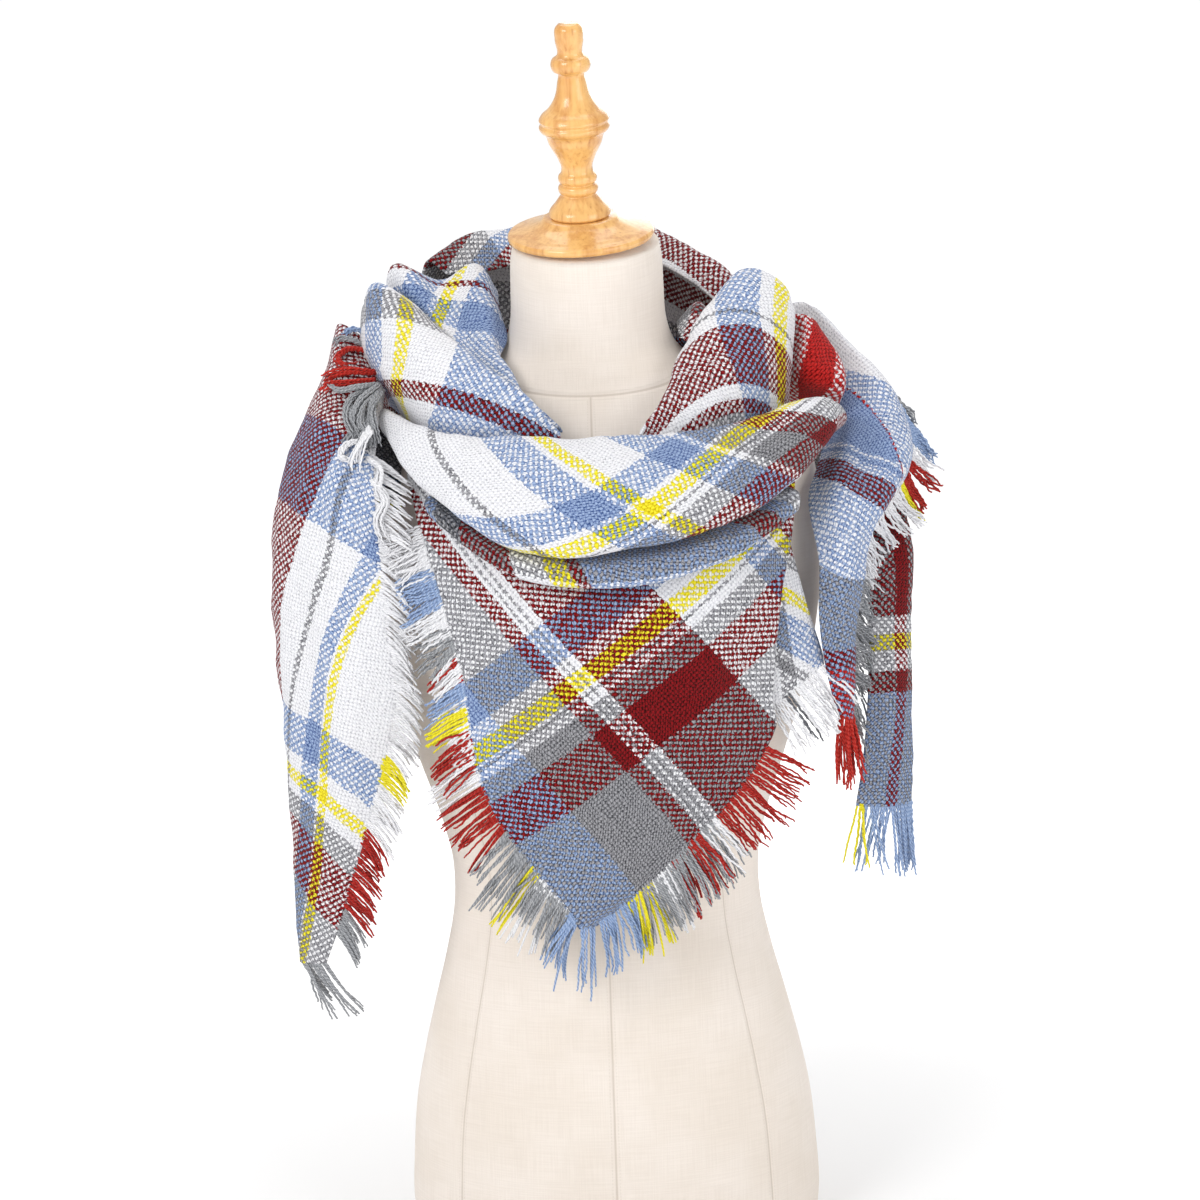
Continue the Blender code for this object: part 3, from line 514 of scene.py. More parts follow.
# The stretches: table of sections, and what the stretch lies on.
STRETCHES = {
    "scarf_front_panel": (FRONT_PANEL, "form_body"),
    "scarf_front_under_layer": (FRONT_UNDER_LAYER, "form_body"),
    "scarf_cowl_lower_fold": (COWL_LOWER_FOLD, "scarf_front_panel"),
    "scarf_cowl_roll": (COWL_ROLL, "scarf_cowl_lower_fold"),
    "scarf_left_shoulder_outer": (LEFT_SHOULDER_OUTER, "scarf_left_shoulder_inner"),
    "scarf_left_shoulder_inner": (LEFT_SHOULDER_INNER, "form_body"),
    "scarf_left_under_fold": (LEFT_UNDER_FOLD, "form_body"),
    "scarf_nape_band": (NAPE_BAND, "scarf_back_drape"),
    "scarf_right_under_band": (RIGHT_UNDER_BAND, "form_body"),
    "scarf_right_shoulder_wrap": (RIGHT_SHOULDER_WRAP, "scarf_right_under_band"),
    "scarf_right_shoulder_roll": (RIGHT_SHOULDER_ROLL, "scarf_right_shoulder_wrap"),
    "scarf_back_drape": (BACK_DRAPE, "form_body"),
    "scarf_back_cross": (BACK_CROSS, "scarf_back_drape"),
    "scarf_left_tail": (LEFT_TAIL, "scarf_left_shoulder_outer"),
    "scarf_right_tail": (RIGHT_TAIL, "scarf_right_shoulder_roll"),
    "scarf_right_tail_under": (RIGHT_TAIL_UNDER, "scarf_right_tail"),
}

# Small unevenness of all cloth: depth, number of waves, shortest and longest wave.
PUCKERS = [
    (0.75, 7, 34, 90),
    (0.28, 9, 11, 24),
]

# Soft troughs (depth above 0) and ridges (below 0) pressed into a stretch along a flat line.
CREASES = [
    # stretch, from (down, over), to (down, over), half_width, depth
    ("scarf_cowl_roll", (60, -20), (200, 22), 9, 2.2),
    ("scarf_cowl_roll", (150, -28), (330, 14), 12, -2.0),
    ("scarf_cowl_roll", (280, -22), (400, -6), 8, 1.8),
    ("scarf_front_panel", (60, -110), (150, -60), 14, 2.0),
    ("scarf_front_panel", (75, 60), (160, 100), 14, 2.2),
    ("scarf_front_panel", (110, -20), (230, 10), 26, -2.4),
    ("scarf_left_shoulder_outer", (30, 5), (150, -28), 8, 2.0),
    ("scarf_left_shoulder_outer", (40, 24), (170, 20), 12, -1.6),
    ("scarf_left_shoulder_inner", (100, 5), (190, -5), 8, 2.2),
    ("scarf_right_shoulder_wrap", (30, -10), (130, -26), 7, 2.4),
    ("scarf_right_shoulder_wrap", (60, 20), (150, 14), 10, -1.8),
    ("scarf_left_tail", (60, -30), (260, -58), 11, 2.6),
    ("scarf_left_tail", (120, 12), (420, 14), 16, -2.4),
    ("scarf_left_tail", (200, -20), (460, -14), 12, 2.2),
    ("scarf_right_tail", (70, 0), (240, -18), 9, 2.4),
    ("scarf_right_tail", (110, 30), (300, 2), 10, -1.8),
    ("scarf_back_drape", (60, -40), (150, 60), 14, 2.6),
    ("scarf_back_drape", (200, -30), (215, 70), 16, 2.4),
    ("scarf_back_drape", (350, -40), (280, 60), 14, 2.6),
    ("scarf_back_cross", (60, -10), (380, 14), 12, 2.4),
]

# Fringes. side is the edge that carries the hem; start and end are shares of it; the strands turn from
# hang_start to hang_end. colours is the plaid family whose yarns come out there, "A" or "B", or a list
# of colours and the shares of the fringe where they change.
# node, stretch, side, start, end, length, hang_start, hang_end, colours
FRINGES = [
    ("fringe_front_left", "scarf_front_panel", "first", 0.13, 0.62, 33,
     (-0.86, -0.42, -0.30), (-0.78, -0.20, -0.60),
     ["W", 0.18, "B", 0.34, "W", 0.42, "G", 0.54, "R", 0.58, "W", 0.64, "B", 0.74, "Y", 0.84, "R"]),
    ("fringe_front_left", "scarf_front_panel", "first", 0.15, 0.60, 27,
     (-0.80, -0.20, -0.55), (-0.66, -0.05, -0.75),
     ["W", 0.20, "B", 0.30, "W", 0.46, "G", 0.52, "W", 0.62, "R", 0.66, "B", 0.72, "W"]),
    ("fringe_front_lower_left", "scarf_front_panel", "first", 0.60, 0.985, 38,
     (-0.80, -0.10, -0.60), (-0.25, -0.10, -0.97), ["W", 0.14, "R", 0.40, "G", 0.93, "B"]),
    ("fringe_front_lower_left", "scarf_front_panel", "first", 0.80, 0.99, 56,
     (-0.52, 0.05, -0.85), (-0.14, 0.05, -0.98), ["G", 0.22, "Y", 0.36, "W", 0.85, "B"]),
    ("fringe_front_lower_right", "scarf_front_panel", "last", 0.54, 0.99, 41,
     (0.85, -0.10, -0.53), (-0.05, -0.10, -0.99), "A"),
    ("fringe_front_lower_right", "scarf_front_panel", "last", 0.70, 0.93, 46,
     (0.60, 0.05, -0.80), (0.05, 0.05, -0.99), ["G", 0.30, "R", 0.50, "W", 0.72, "Y"]),
    ("fringe_front_lower_right", "scarf_front_panel", "end", 0.0, 1.0, 46,
     (-0.16, -0.08, -0.98), (-0.02, -0.08, -0.99), ["B"]),
    ("fringe_under_layer", "scarf_front_under_layer", "end", 0.02, 0.98, 42,
     (0.45, -0.25, -0.86), (0.60, -0.40, -0.69), ["W", 0.28, "D", 0.36, "W"]),
    ("fringe_left_tail_top", "left_shoulder_hem", "last", 0.45, 1.0, 36,
     (-0.30, -0.25, -0.92), (-0.05, -0.20, -0.98), ["G", 0.70, "W"]),
    ("fringe_left_tail", "scarf_left_tail", "first", 0.22, 0.95, 31,
     (0.66, -0.05, -0.75), (0.42, -0.14, -0.90),
     ["W", 0.60, "Y", 0.66, "W", 0.76, "R", 0.94, "G"]),
    ("fringe_left_tail_tip", "scarf_left_tail", "end", 0.0, 1.0, 44,
     (0.60, 0.0, -0.80), (0.40, 0.0, -0.92), ["G"]),
    ("fringe_right_tail", "scarf_right_tail", "last", 0.20, 0.92, 30,
     (0.62, -0.22, -0.75), (0.74, -0.10, -0.67),
     ["G", 0.07, "B", 0.20, "W", 0.26, "R", 0.36, "Y", 0.39, "W", 0.66, "G"]),
    ("fringe_right_tail", "scarf_right_tail", "last", 0.60, 0.97, 50,
     (0.42, -0.25, -0.87), (0.28, -0.15, -0.95), ["W", 0.25, "G"]),
    ("fringe_right_tail_tip", "scarf_right_tail", "end", 0.0, 1.0, 46,
     (0.10, -0.02, -0.99), (0.14, -0.02, -0.99), ["S"]),
    ("fringe_right_tail_tip", "scarf_right_tail", "end", 0.05, 0.95, 42,
     (-0.05, -0.10, -0.99), (0.30, -0.10, -0.95), ["S"]),
    ("fringe_right_tail_under", "scarf_right_tail_under", "end", 0.0, 1.0, 50,
     (-0.14, 0.0, -0.99), (0.04, 0.0, -0.99), ["Y", 0.08, "B"]),
]

# Locks that curl on their own. The line runs through the lock's middle from its root.
# node, strands, spread, colour, line
LOCKS = [
    ("fringe_left_shoulder", 13, 3.4, "S",
     [(-162, -14, 698), (-183, -22, 701), (-189, -28, 695), (-183, -32, 689), (-172, -30, 689)]),
    ("fringe_left_shoulder", 18, 3.8, "S",
     [(-160, -34, 684), (-182, -40, 686), (-193, -42, 684), (-200, -42, 680)]),
    ("fringe_left_shoulder", 13, 3.4, "S",
     [(-160, -40, 679), (-182, -48, 678), (-193, -48, 677), (-202, -46, 671)]),
    ("fringe_left_shoulder", 10, 2.6, "G",
     [(-168, -12, 702), (-179, -16, 708), (-188, -18, 709), (-193, -22, 704)]),
    ("fringe_left_shoulder", 8, 2.4, "B", [(-168, -4, 711), (-178, -8, 715), (-186, -12, 710)]),
    ("fringe_left_tail_top", 13, 3.2, "G",
     [(-158, -44, 676), (-174, -54, 675), (-186, -54, 673), (-196, -48, 677)]),
    ("fringe_left_tail_top", 26, 6.0, "G",
     [(-156, -46, 675), (-169, -60, 665), (-172, -74, 650), (-163, -82, 635)]),
    ("fringe_left_tail_top", 22, 5.0, "G",
     [(-155, -46, 672), (-162, -62, 660), (-161, -76, 647), (-158, -84, 632)]),
    ("fringe_left_tail_top", 16, 4.5, "G",
     [(-158, -44, 675), (-178, -58, 666), (-180, -70, 654), (-173, -80, 642)]),
    ("fringe_left_tail_top", 13, 3.4, "W",
     [(-167, -82, 639), (-181, -84, 635), (-184, -88, 629), (-177, -92, 624)]),
    ("fringe_left_tail_top", 15, 4.0, "W",
     [(-165, -86, 626), (-156, -92, 619), (-157, -98, 604), (-151, -100, 591)]),
    ("fringe_left_tail_top", 15, 4.5, "W",
     [(-162, -94, 611), (-152, -100, 597), (-158, -104, 583), (-153, -104, 564)]),
]

# Edge points that the soft cloth tucks a little further under its neighbour than the solid can.
# stretch, rows, column, move
TUCKED = [
    ("scarf_left_tail", (0,), 0, (3, 3, 0)),
    ("scarf_left_tail", (1,), 0, (13, 14, 0)),
    ("scarf_left_tail", (2,), 0, (6, 6, 0)),
    ("scarf_right_shoulder_roll", (0, 1, 2, 3, 4), 0, (-9, 8, 0)),
    ("scarf_right_tail", (4,), 0, (-6, -8, 0)),
    ("scarf_right_tail", (5,), 0, (-4, -1, 0)),
]

# Loose yarns catch more light than woven ones, so they are paler.
STRAND_COLOURS = {
    "W": (0.90, 0.90, 0.92),
    "R": (0.480, 0.034, 0.026),
    "S": (0.56, 0.042, 0.030),
    "B": (0.38, 0.49, 0.70),
    "G": (0.42, 0.43, 0.45),
    "Y": (0.88, 0.80, 0.045),
    # D is grey darkened with painted shade, as in COLOURS.
    "D": (0.190, 0.195, 0.215),
}


# ------------------------------------------------------------------- sheets

def unit(vectors):
    return vectors / np.maximum(np.linalg.norm(vectors, axis=-1, keepdims=True), TINY)


def spans(points, axis=0):
    """Distances between neighbouring points along an axis."""
    return np.linalg.norm(np.diff(points, axis=axis), axis=-1)


def places_of(lengths):
    """Places, from 0, of points that lie those lengths apart."""
    return np.concatenate([[0.0], np.cumsum(lengths)])


def smooth_through(rows, steps):
    """A smooth curve of steps + 1 points through rows, with tangents weighted by the spacing of the rows."""
    rows = np.asarray(rows, float)
    gaps = spans(rows)
    gaps = np.maximum(gaps.reshape(len(rows) - 1, -1).mean(axis=1), TINY)
    places = places_of(gaps)
    shape = (-1,) + (1,) * (rows.ndim - 1)
    slopes = np.diff(rows, axis=0) / gaps.reshape(shape)
    tangents = np.empty_like(rows)
    tangents[0] = slopes[0]
    tangents[-1] = slopes[-1]
    before = gaps[:-1].reshape(shape)
    after = gaps[1:].reshape(shape)
    tangents[1:-1] = (slopes[:-1] * after + slopes[1:] * before) / (before + after)
    at = np.linspace(0.0, places[-1], steps + 1)
    left = np.clip(np.searchsorted(places, at, side="right") - 1, 0, len(rows) - 2)
    share = ((at - places[left]) / gaps[left]).reshape(shape)
    step = gaps[left].reshape(shape)
    return (
        (2 * share**3 - 3 * share**2 + 1) * rows[left]
        + (share**3 - 2 * share**2 + share) * step * tangents[left]
        + (3 * share**2 - 2 * share**3) * rows[left + 1]
        + (share**3 - share**2) * step * tangents[left + 1]
    )


def sheet_points(sections, along, across):
    by_row = smooth_through(sections, along)
    by_column = smooth_through(by_row.transpose(1, 0, 2), across)
    return by_column.transpose(1, 0, 2)


def fine_sheet(sections, step):
    """Grid of points about step apart, with whole multiples of FLAT_EVERY facets each way."""
    length = spans(sections).sum(axis=0).max()
    width = spans(sections, 1).sum(axis=1).max()
    along = max(4, round(length / step / FLAT_EVERY)) * FLAT_EVERY
    across = max(2, round(width / step / FLAT_EVERY)) * FLAT_EVERY
    return sheet_points(sections, along, across)


def sheet_normals(grid):
    return unit(np.cross(np.gradient(grid, axis=0), np.gradient(grid, axis=1)))


def numbered(rows, columns):
    """Grid of the vertex numbers of a grid of points."""
    return np.arange(rows * columns).reshape(rows, columns)


def facets(numbers):
    """The four corners of each facet of a grid of vertex numbers."""
    corners = numbers[:-1, :-1], numbers[:-1, 1:], numbers[1:, 1:], numbers[1:, :-1]
    return np.stack([corner.ravel() for corner in corners], axis=1)


def closed_facets(rings, sides):
    """Facets of a tube whose rings of vertices are closed."""
    numbers = numbered(rings, sides)
    return facets(np.concatenate([numbers, numbers[:, :1]], axis=1))


def laid_flat(grid):
    """Flat (down, over) coordinates of a grid's points that keep the lengths of its facets' sides and
    diagonals."""
    rows, columns = grid.shape[:2]
    over = spans(grid, 1)
    across = np.concatenate([np.zeros((rows, 1)), np.cumsum(over, axis=1)], axis=1)
    across = across - across[:, -1:] / 2
    along = places_of(spans(grid)[:, columns // 2])
    flat = np.stack([np.repeat(along[:, None], columns, axis=1), across], axis=-1).reshape(-1, 2)
    numbers = numbered(rows, columns)
    pairs = np.concatenate([
        np.stack([one.ravel(), other.ravel()], axis=1)
        for one, other in (
            (numbers[:-1], numbers[1:]),
            (numbers[:, :-1], numbers[:, 1:]),
            (numbers[:-1, :-1], numbers[1:, 1:]),
            (numbers[:-1, 1:], numbers[1:, :-1]),
        )
    ])
    points = grid.reshape(-1, 3)
    rest = np.linalg.norm(points[pairs[:, 0]] - points[pairs[:, 1]], axis=1)
    count = np.bincount(pairs.ravel(), minlength=rows * columns)[:, None]
    for _ in range(FLAT_TURNS):
        gap = flat[pairs[:, 1]] - flat[pairs[:, 0]]
        size = np.linalg.norm(gap, axis=1)
        pull = gap * ((size - rest) / np.maximum(size, TINY))[:, None] / 2
        move = np.stack([
            np.bincount(pairs[:, 0], part, rows * columns) - np.bincount(pairs[:, 1], part, rows * columns)
            for part in pull.T
        ], axis=1)
        flat = flat + move / count * FLAT_PULL
    return flat.reshape(rows, columns, 2)


def stretched_out(coarse, every):
    """Bilinear values between the coarse grid's, every facets apart."""
    rows, columns = coarse.shape[:2]
    at_row = np.arange((rows - 1) * every + 1) / every
    at_column = np.arange((columns - 1) * every + 1) / every
    top = np.minimum(at_row.astype(int), rows - 2)
    left = np.minimum(at_column.astype(int), columns - 2)
    down = (at_row - top)[:, None, None]
    over = (at_column - left)[None, :, None]
    upper = coarse[top][:, left] * (1 - over) + coarse[top][:, left + 1] * over
    lower = coarse[top + 1][:, left] * (1 - over) + coarse[top + 1][:, left + 1] * over
    return upper * (1 - down) + lower * down


# ------------------------------------------------------------ plaid and folds

def line_frame(first, last):
    """Length of a flat line and the unit vectors along and across it."""
    gap = np.asarray(last, float) - np.asarray(first, float)
    length = np.linalg.norm(gap)
    along = gap / length
    return length, along, np.array([-along[1], along[0]])


def line_offset(flat, *points):
    """Signed distance of flat points from the bowed line through the given points."""
    points = np.asarray(points, float)
    first = points[0]
    length, along, across = line_frame(first, points[-1])
    at = (flat - first) @ along
    curve = np.polyfit((points - first) @ along, (points - first) @ across, len(points) - 1)
    inside = np.clip(at, 0, length)
    slope = np.polyval(np.polyder(curve), inside)
    return (flat - first) @ across - np.polyval(curve, inside) - slope * (at - inside)


def family_coordinate(flat, lines):
    """Stripe coordinate of flat points: read between the guide lines and carried on beyond them in
    millimetres."""
    values = [line[0] for line in lines]
    offsets = [line_offset(flat, *line[1:]) for line in lines]
    coordinate = values[0] + offsets[0]
    for k in range(1, len(lines)):
        width = offsets[k - 1] - offsets[k]
        share = offsets[k - 1] / np.where(np.abs(width) < LEAST_WIDTH, LEAST_WIDTH, width)
        between = values[k - 1] + (values[k] - values[k - 1]) * share
        coordinate = np.where(offsets[k - 1] > 0, between, coordinate)
        coordinate = np.where(offsets[k] > 0, values[k] + offsets[k], coordinate)
    return coordinate


def band_colour(bands, coordinate):
    """Colour key of the band that holds the coordinate."""
    for key, limit in zip(bands[::2], bands[1::2]):
        if coordinate < limit:
            return key
    return bands[-1]


def weave_coordinates(flat, lines):
    """Flat points in yarn pitches, turned so that the yarns run along the plaid's first guide line."""
    _, along, across = line_frame(lines[0][1], lines[0][-1])
    return np.stack([flat @ across, flat @ along], axis=-1) / YARN_PITCH


def waves(flat, seed, count, shortest, longest):
    """Smooth uneven field, about -1 to 1, of a few crossing waves."""
    chance = np.random.default_rng(seed)
    total = np.zeros(flat.shape[:2])
    for _ in range(count):
        turn = chance.uniform(0, TURN)
        size = chance.uniform(shortest, longest)
        phase = chance.uniform(0, TURN)
        total += np.sin(TURN / size * (flat @ np.array([math.cos(turn), math.sin(turn)])) + phase)
    return total / math.sqrt(count)


def crease_relief(flat, start, end, half_width, depth):
    """A trough with soft lips along a wandering line, deepest in its middle."""
    length, along, across = line_frame(start, end)
    at = (flat - start) @ along / length
    wander = 0.35 * half_width * np.sin(at * 7.0 + length)
    off = (flat - start) @ across + wander
    fade = np.clip(at * 4, 0, 1) * np.clip((1 - at) * 4, 0, 1)
    uneven = 0.75 + 0.25 * np.sin(at * 11.0 + depth)
    trough = np.exp(-(off / half_width) ** 2)
    lips = np.exp(-((np.abs(off) - 1.7 * half_width) / half_width) ** 2)
    return depth * fade * uneven * (0.45 * lips - trough)


def edge_fade(rows, columns):
    """1 inside the sheet and less near its edges."""
    down = np.minimum(np.arange(rows), np.arange(rows)[::-1])
    over = np.minimum(np.arange(columns), np.arange(columns)[::-1])
    nearest = np.minimum(down[:, None], over[None, :]) * CLOTH_STEP
    return EDGE_RELIEF + (1 - EDGE_RELIEF) * np.clip(nearest / EDGE_REACH, 0, 1)


def folded(name, grid, flat):
    """The grid with soft creases and small puckers along its outward normals."""
    normals = sheet_normals(grid)
    if (normals[..., :2] * grid[..., :2]).sum() < 0:
        normals = -normals
    seed = sum(ord(letter) for letter in name)
    relief = np.full(flat.shape[:2], CLOTH_LIFT)
    for k, (depth, *shape) in enumerate(PUCKERS):
        relief += depth * waves(flat, seed + k, *shape)
    for stretch, *crease in CREASES:
        if stretch == name:
            relief += crease_relief(flat, *crease)
    return grid + normals * (relief * edge_fade(*relief.shape))[..., None]


# ------------------------------------------------------------------- meshes

def make_mesh(name, vertices, faces, uvs=(), colours=None):
    """A smooth-shaded mesh. Each item of uvs is (map name, one coordinate pair for each vertex)."""
    mesh = bpy.data.meshes.new(name)
    mesh.from_pydata((np.asarray(vertices) * MM).tolist(), [], faces)
    mesh.update()
    corners = np.empty(len(mesh.loops), np.int32)
    mesh.loops.foreach_get("vertex_index", corners)
    for uv_name, values in uvs:
        layer = mesh.uv_layers.new(name=uv_name)
        layer.uv.foreach_set("vector", np.asarray(values, np.float32)[corners].ravel())
    if colours is not None:
        layer = mesh.color_attributes.new("yarn", "FLOAT_COLOR", "POINT")
        layer.data.foreach_set("color", np.asarray(colours, np.float32).ravel())
    mesh.shade_smooth()
    made = bpy.data.objects.new(name, mesh)
    bpy.context.scene.collection.objects.link(made)
    return made


def weld(made):
    """Joins the vertices where a lathe's first and last column meet."""
    shape = bmesh.new()
    shape.from_mesh(made.data)
    bmesh.ops.remove_doubles(shape, verts=shape.verts, dist=WELD_REACH)
    bmesh.ops.recalc_face_normals(shape, faces=shape.faces)
    shape.to_mesh(made.data)
    shape.free()


def rounded_wall(grid, values):
    """Closed wall round the grid with a rounded rim, and the values of its vertices."""
    numbers = numbered(*grid.shape[:2])
    rim = np.concatenate([numbers[0], numbers[1:, -1], numbers[-1, -2::-1], numbers[-2:0:-1, 0]])
    shift = sheet_normals(grid) * CLOTH_WALL / 2
    outward = np.zeros_like(grid)
    outward[0] += unit(grid[0] - grid[1])
    outward[-1] += unit(grid[-1] - grid[-2])
    outward[:, 0] += unit(grid[:, 0] - grid[:, 1])
    outward[:, -1] += unit(grid[:, -1] - grid[:, -2])
    middle = grid.reshape(-1, 3)[rim] + unit(outward.reshape(-1, 3)[rim]) * RIM_BULGE
    vertices = np.concatenate([(grid + shift).reshape(-1, 3), (grid - shift).reshape(-1, 3), middle])
    flat_values = [v.reshape(-1, v.shape[-1]) for v in values]
    values = [np.concatenate([v, v, v[rim]]) for v in flat_values]
    back = numbers.size
    face, next_rim = facets(numbers), np.roll(rim, -1)
    bulge = 2 * back + np.arange(len(rim))
    next_bulge = np.roll(bulge, -1)
    hem = [rim, next_rim, next_bulge, bulge, bulge, next_bulge, back + next_rim, back + rim]
    faces = [face[:, [0, 3, 2, 1]], face + back, np.stack(hem, axis=1).reshape(-1, 4)]
    return vertices, np.concatenate(faces).tolist(), values


# ---------------------------------------------------------------- materials

BAND_MARGIN = 10.0        # of the colour ramp, beyond the first and the last band
YARN_SWAY = 0.10          # pitches by which a yarn swings between its crossings
STRIPE_SPREAD = 5.0       # millimetres over which two bands mix
PLY_TURNS = 1.1           # twists of a woven yarn in one pitch
LIGHT_PASSED = 0.22       # share of a yarn's own colour in the light that comes through it
YARN_TWIST = 1.9          # radians for each millimetre of a loose yarn
LINEN_PITCH = 1.1         # millimetres, as are the rest
STITCH_PITCH = 2.6
FORM_ROUND = 900.0        # about the distance round the form
FAR_OFF = 50.0


class Value:
    """A number of the shader that takes part in sums and products."""

    def __init__(self, nodes, socket):
        self.nodes = nodes
        self.socket = socket

    def __add__(self, other):
        return self.nodes.math("ADD", self, other)

    def __sub__(self, other):
        return self.nodes.math("SUBTRACT", self, other)

    def __mul__(self, other):
        return self.nodes.math("MULTIPLY", self, other)

    def __abs__(self):
        return self.nodes.math("ABSOLUTE", self)


class Nodes:
    """Short way to add and wire the nodes of one material."""

    def __init__(self, name):
        self.material = bpy.data.materials.new(name)
        self.material.use_nodes = True
        self.tree = self.material.node_tree
        self.shader = self.tree.nodes["Principled BSDF"]

    def wire(self, value, socket):
        value = getattr(value, "socket", value)
        if isinstance(value, bpy.types.NodeSocket):
            self.tree.links.new(value, socket)
        else:
            socket.default_value = value

    def add(self, kind, inputs, **settings):
        """A new node with its settings and inputs, which are named or counted."""
        node = self.tree.nodes.new("ShaderNode" + kind)
        for key, setting in settings.items():
            setattr(node, key, setting)
        for key, value in inputs.items():
            self.wire(value, node.inputs[key])
        return node

    def math(self, operation, a, b=0.0, clamp=False):
        node = self.add("Math", {0: a, 1: b}, operation=operation, use_clamp=clamp)
        return Value(self, node.outputs[0])

    def sine(self, value):
        return self.math("SINE", value)

    def smooth_step(self, value, low, high, to_low=0.0, to_high=1.0):
        inputs = {"Value": value, "From Min": low, "From Max": high, "To Min": to_low, "To Max": to_high}
        node = self.add("MapRange", inputs, interpolation_type="SMOOTHSTEP")
        return Value(self, node.outputs["Result"])

    def noise(self, vector, scale, detail=2.0, roughness=0.5):
        inputs = {"Vector": vector, "Scale": scale, "Detail": detail, "Roughness": roughness}
        return Value(self, self.add("TexNoise", inputs).outputs["Fac"])

    def mix(self, share, a, b):
        node = self.tree.nodes.new("ShaderNodeMix")
        node.data_type = "RGBA"
        colours = [s for s in node.inputs if s.type == "RGBA"]
        for value, socket in zip((share, a, b), (node.inputs[0], *colours)):
            self.wire(value, socket)
        return [s for s in node.outputs if s.type == "RGBA"][0]

    def vector_math(self, operation, a, b):
        return self.add("VectorMath", {0: a, 1: b}, operation=operation).outputs[0]

    def uv(self, name):
        return self.add("UVMap", {}, uv_map=name).outputs[0]

    def split(self, vector):
        outputs = self.add("SeparateXYZ", {0: vector}).outputs
        return Value(self, outputs[0]), Value(self, outputs[1])

    def scaled(self, vector, scale, turn=(0.0, 0.0, 0.0)):
        return self.add("Mapping", {"Vector": vector, "Rotation": turn, "Scale": scale}).outputs[0]

    def position(self):
        return self.add("TexCoord", {}).outputs["Object"]

    def shaded(self, colour, light, passed):
        """Colour in the hollows between yarns, where light falls off less if the yarns pass it on."""
        lost = self.vector_math("SUBTRACT", ONES, passed)
        lost = self.vector_math("MULTIPLY", lost, self.math("SUBTRACT", 1.0, light))
        return self.vector_math("MULTIPLY", colour, self.vector_math("SUBTRACT", ONES, lost))

    def bands(self, coordinate, bands):
        """Constant colour bands over a coordinate in millimetres."""
        limits = bands[1::2]
        low = min(limits, default=0) - BAND_MARGIN
        size = max(limits, default=0) + BAND_MARGIN - low
        node = self.add("ValToRGB", {0: self.math("MULTIPLY", coordinate - low, 1 / size, clamp=True)})
        node.color_ramp.interpolation = "CONSTANT"
        elements = node.color_ramp.elements
        elements.remove(elements[1])
        places = [0.0] + [(limit - low) / size for limit in limits]
        for k, (place, key) in enumerate(zip(places, bands[::2])):
            element = elements[0] if k == 0 else elements.new(place)
            element.position = place
            element.color = (*COLOURS[key], 1.0)
        return node.outputs[0]

    def finish(self, colour, height, bump_distance, bump_strength, numbers):
        """Wires the colour and the bump, sets the shader's numbers and returns the material."""
        inputs = {"Distance": bump_distance, "Strength": bump_strength, "Height": height}
        self.wire(colour, self.shader.inputs["Base Color"])
        self.wire(self.add("Bump", inputs).outputs[0], self.shader.inputs["Normal"])
        for key, value in numbers.items():
            self.wire(value, self.shader.inputs[key])
        return self.material


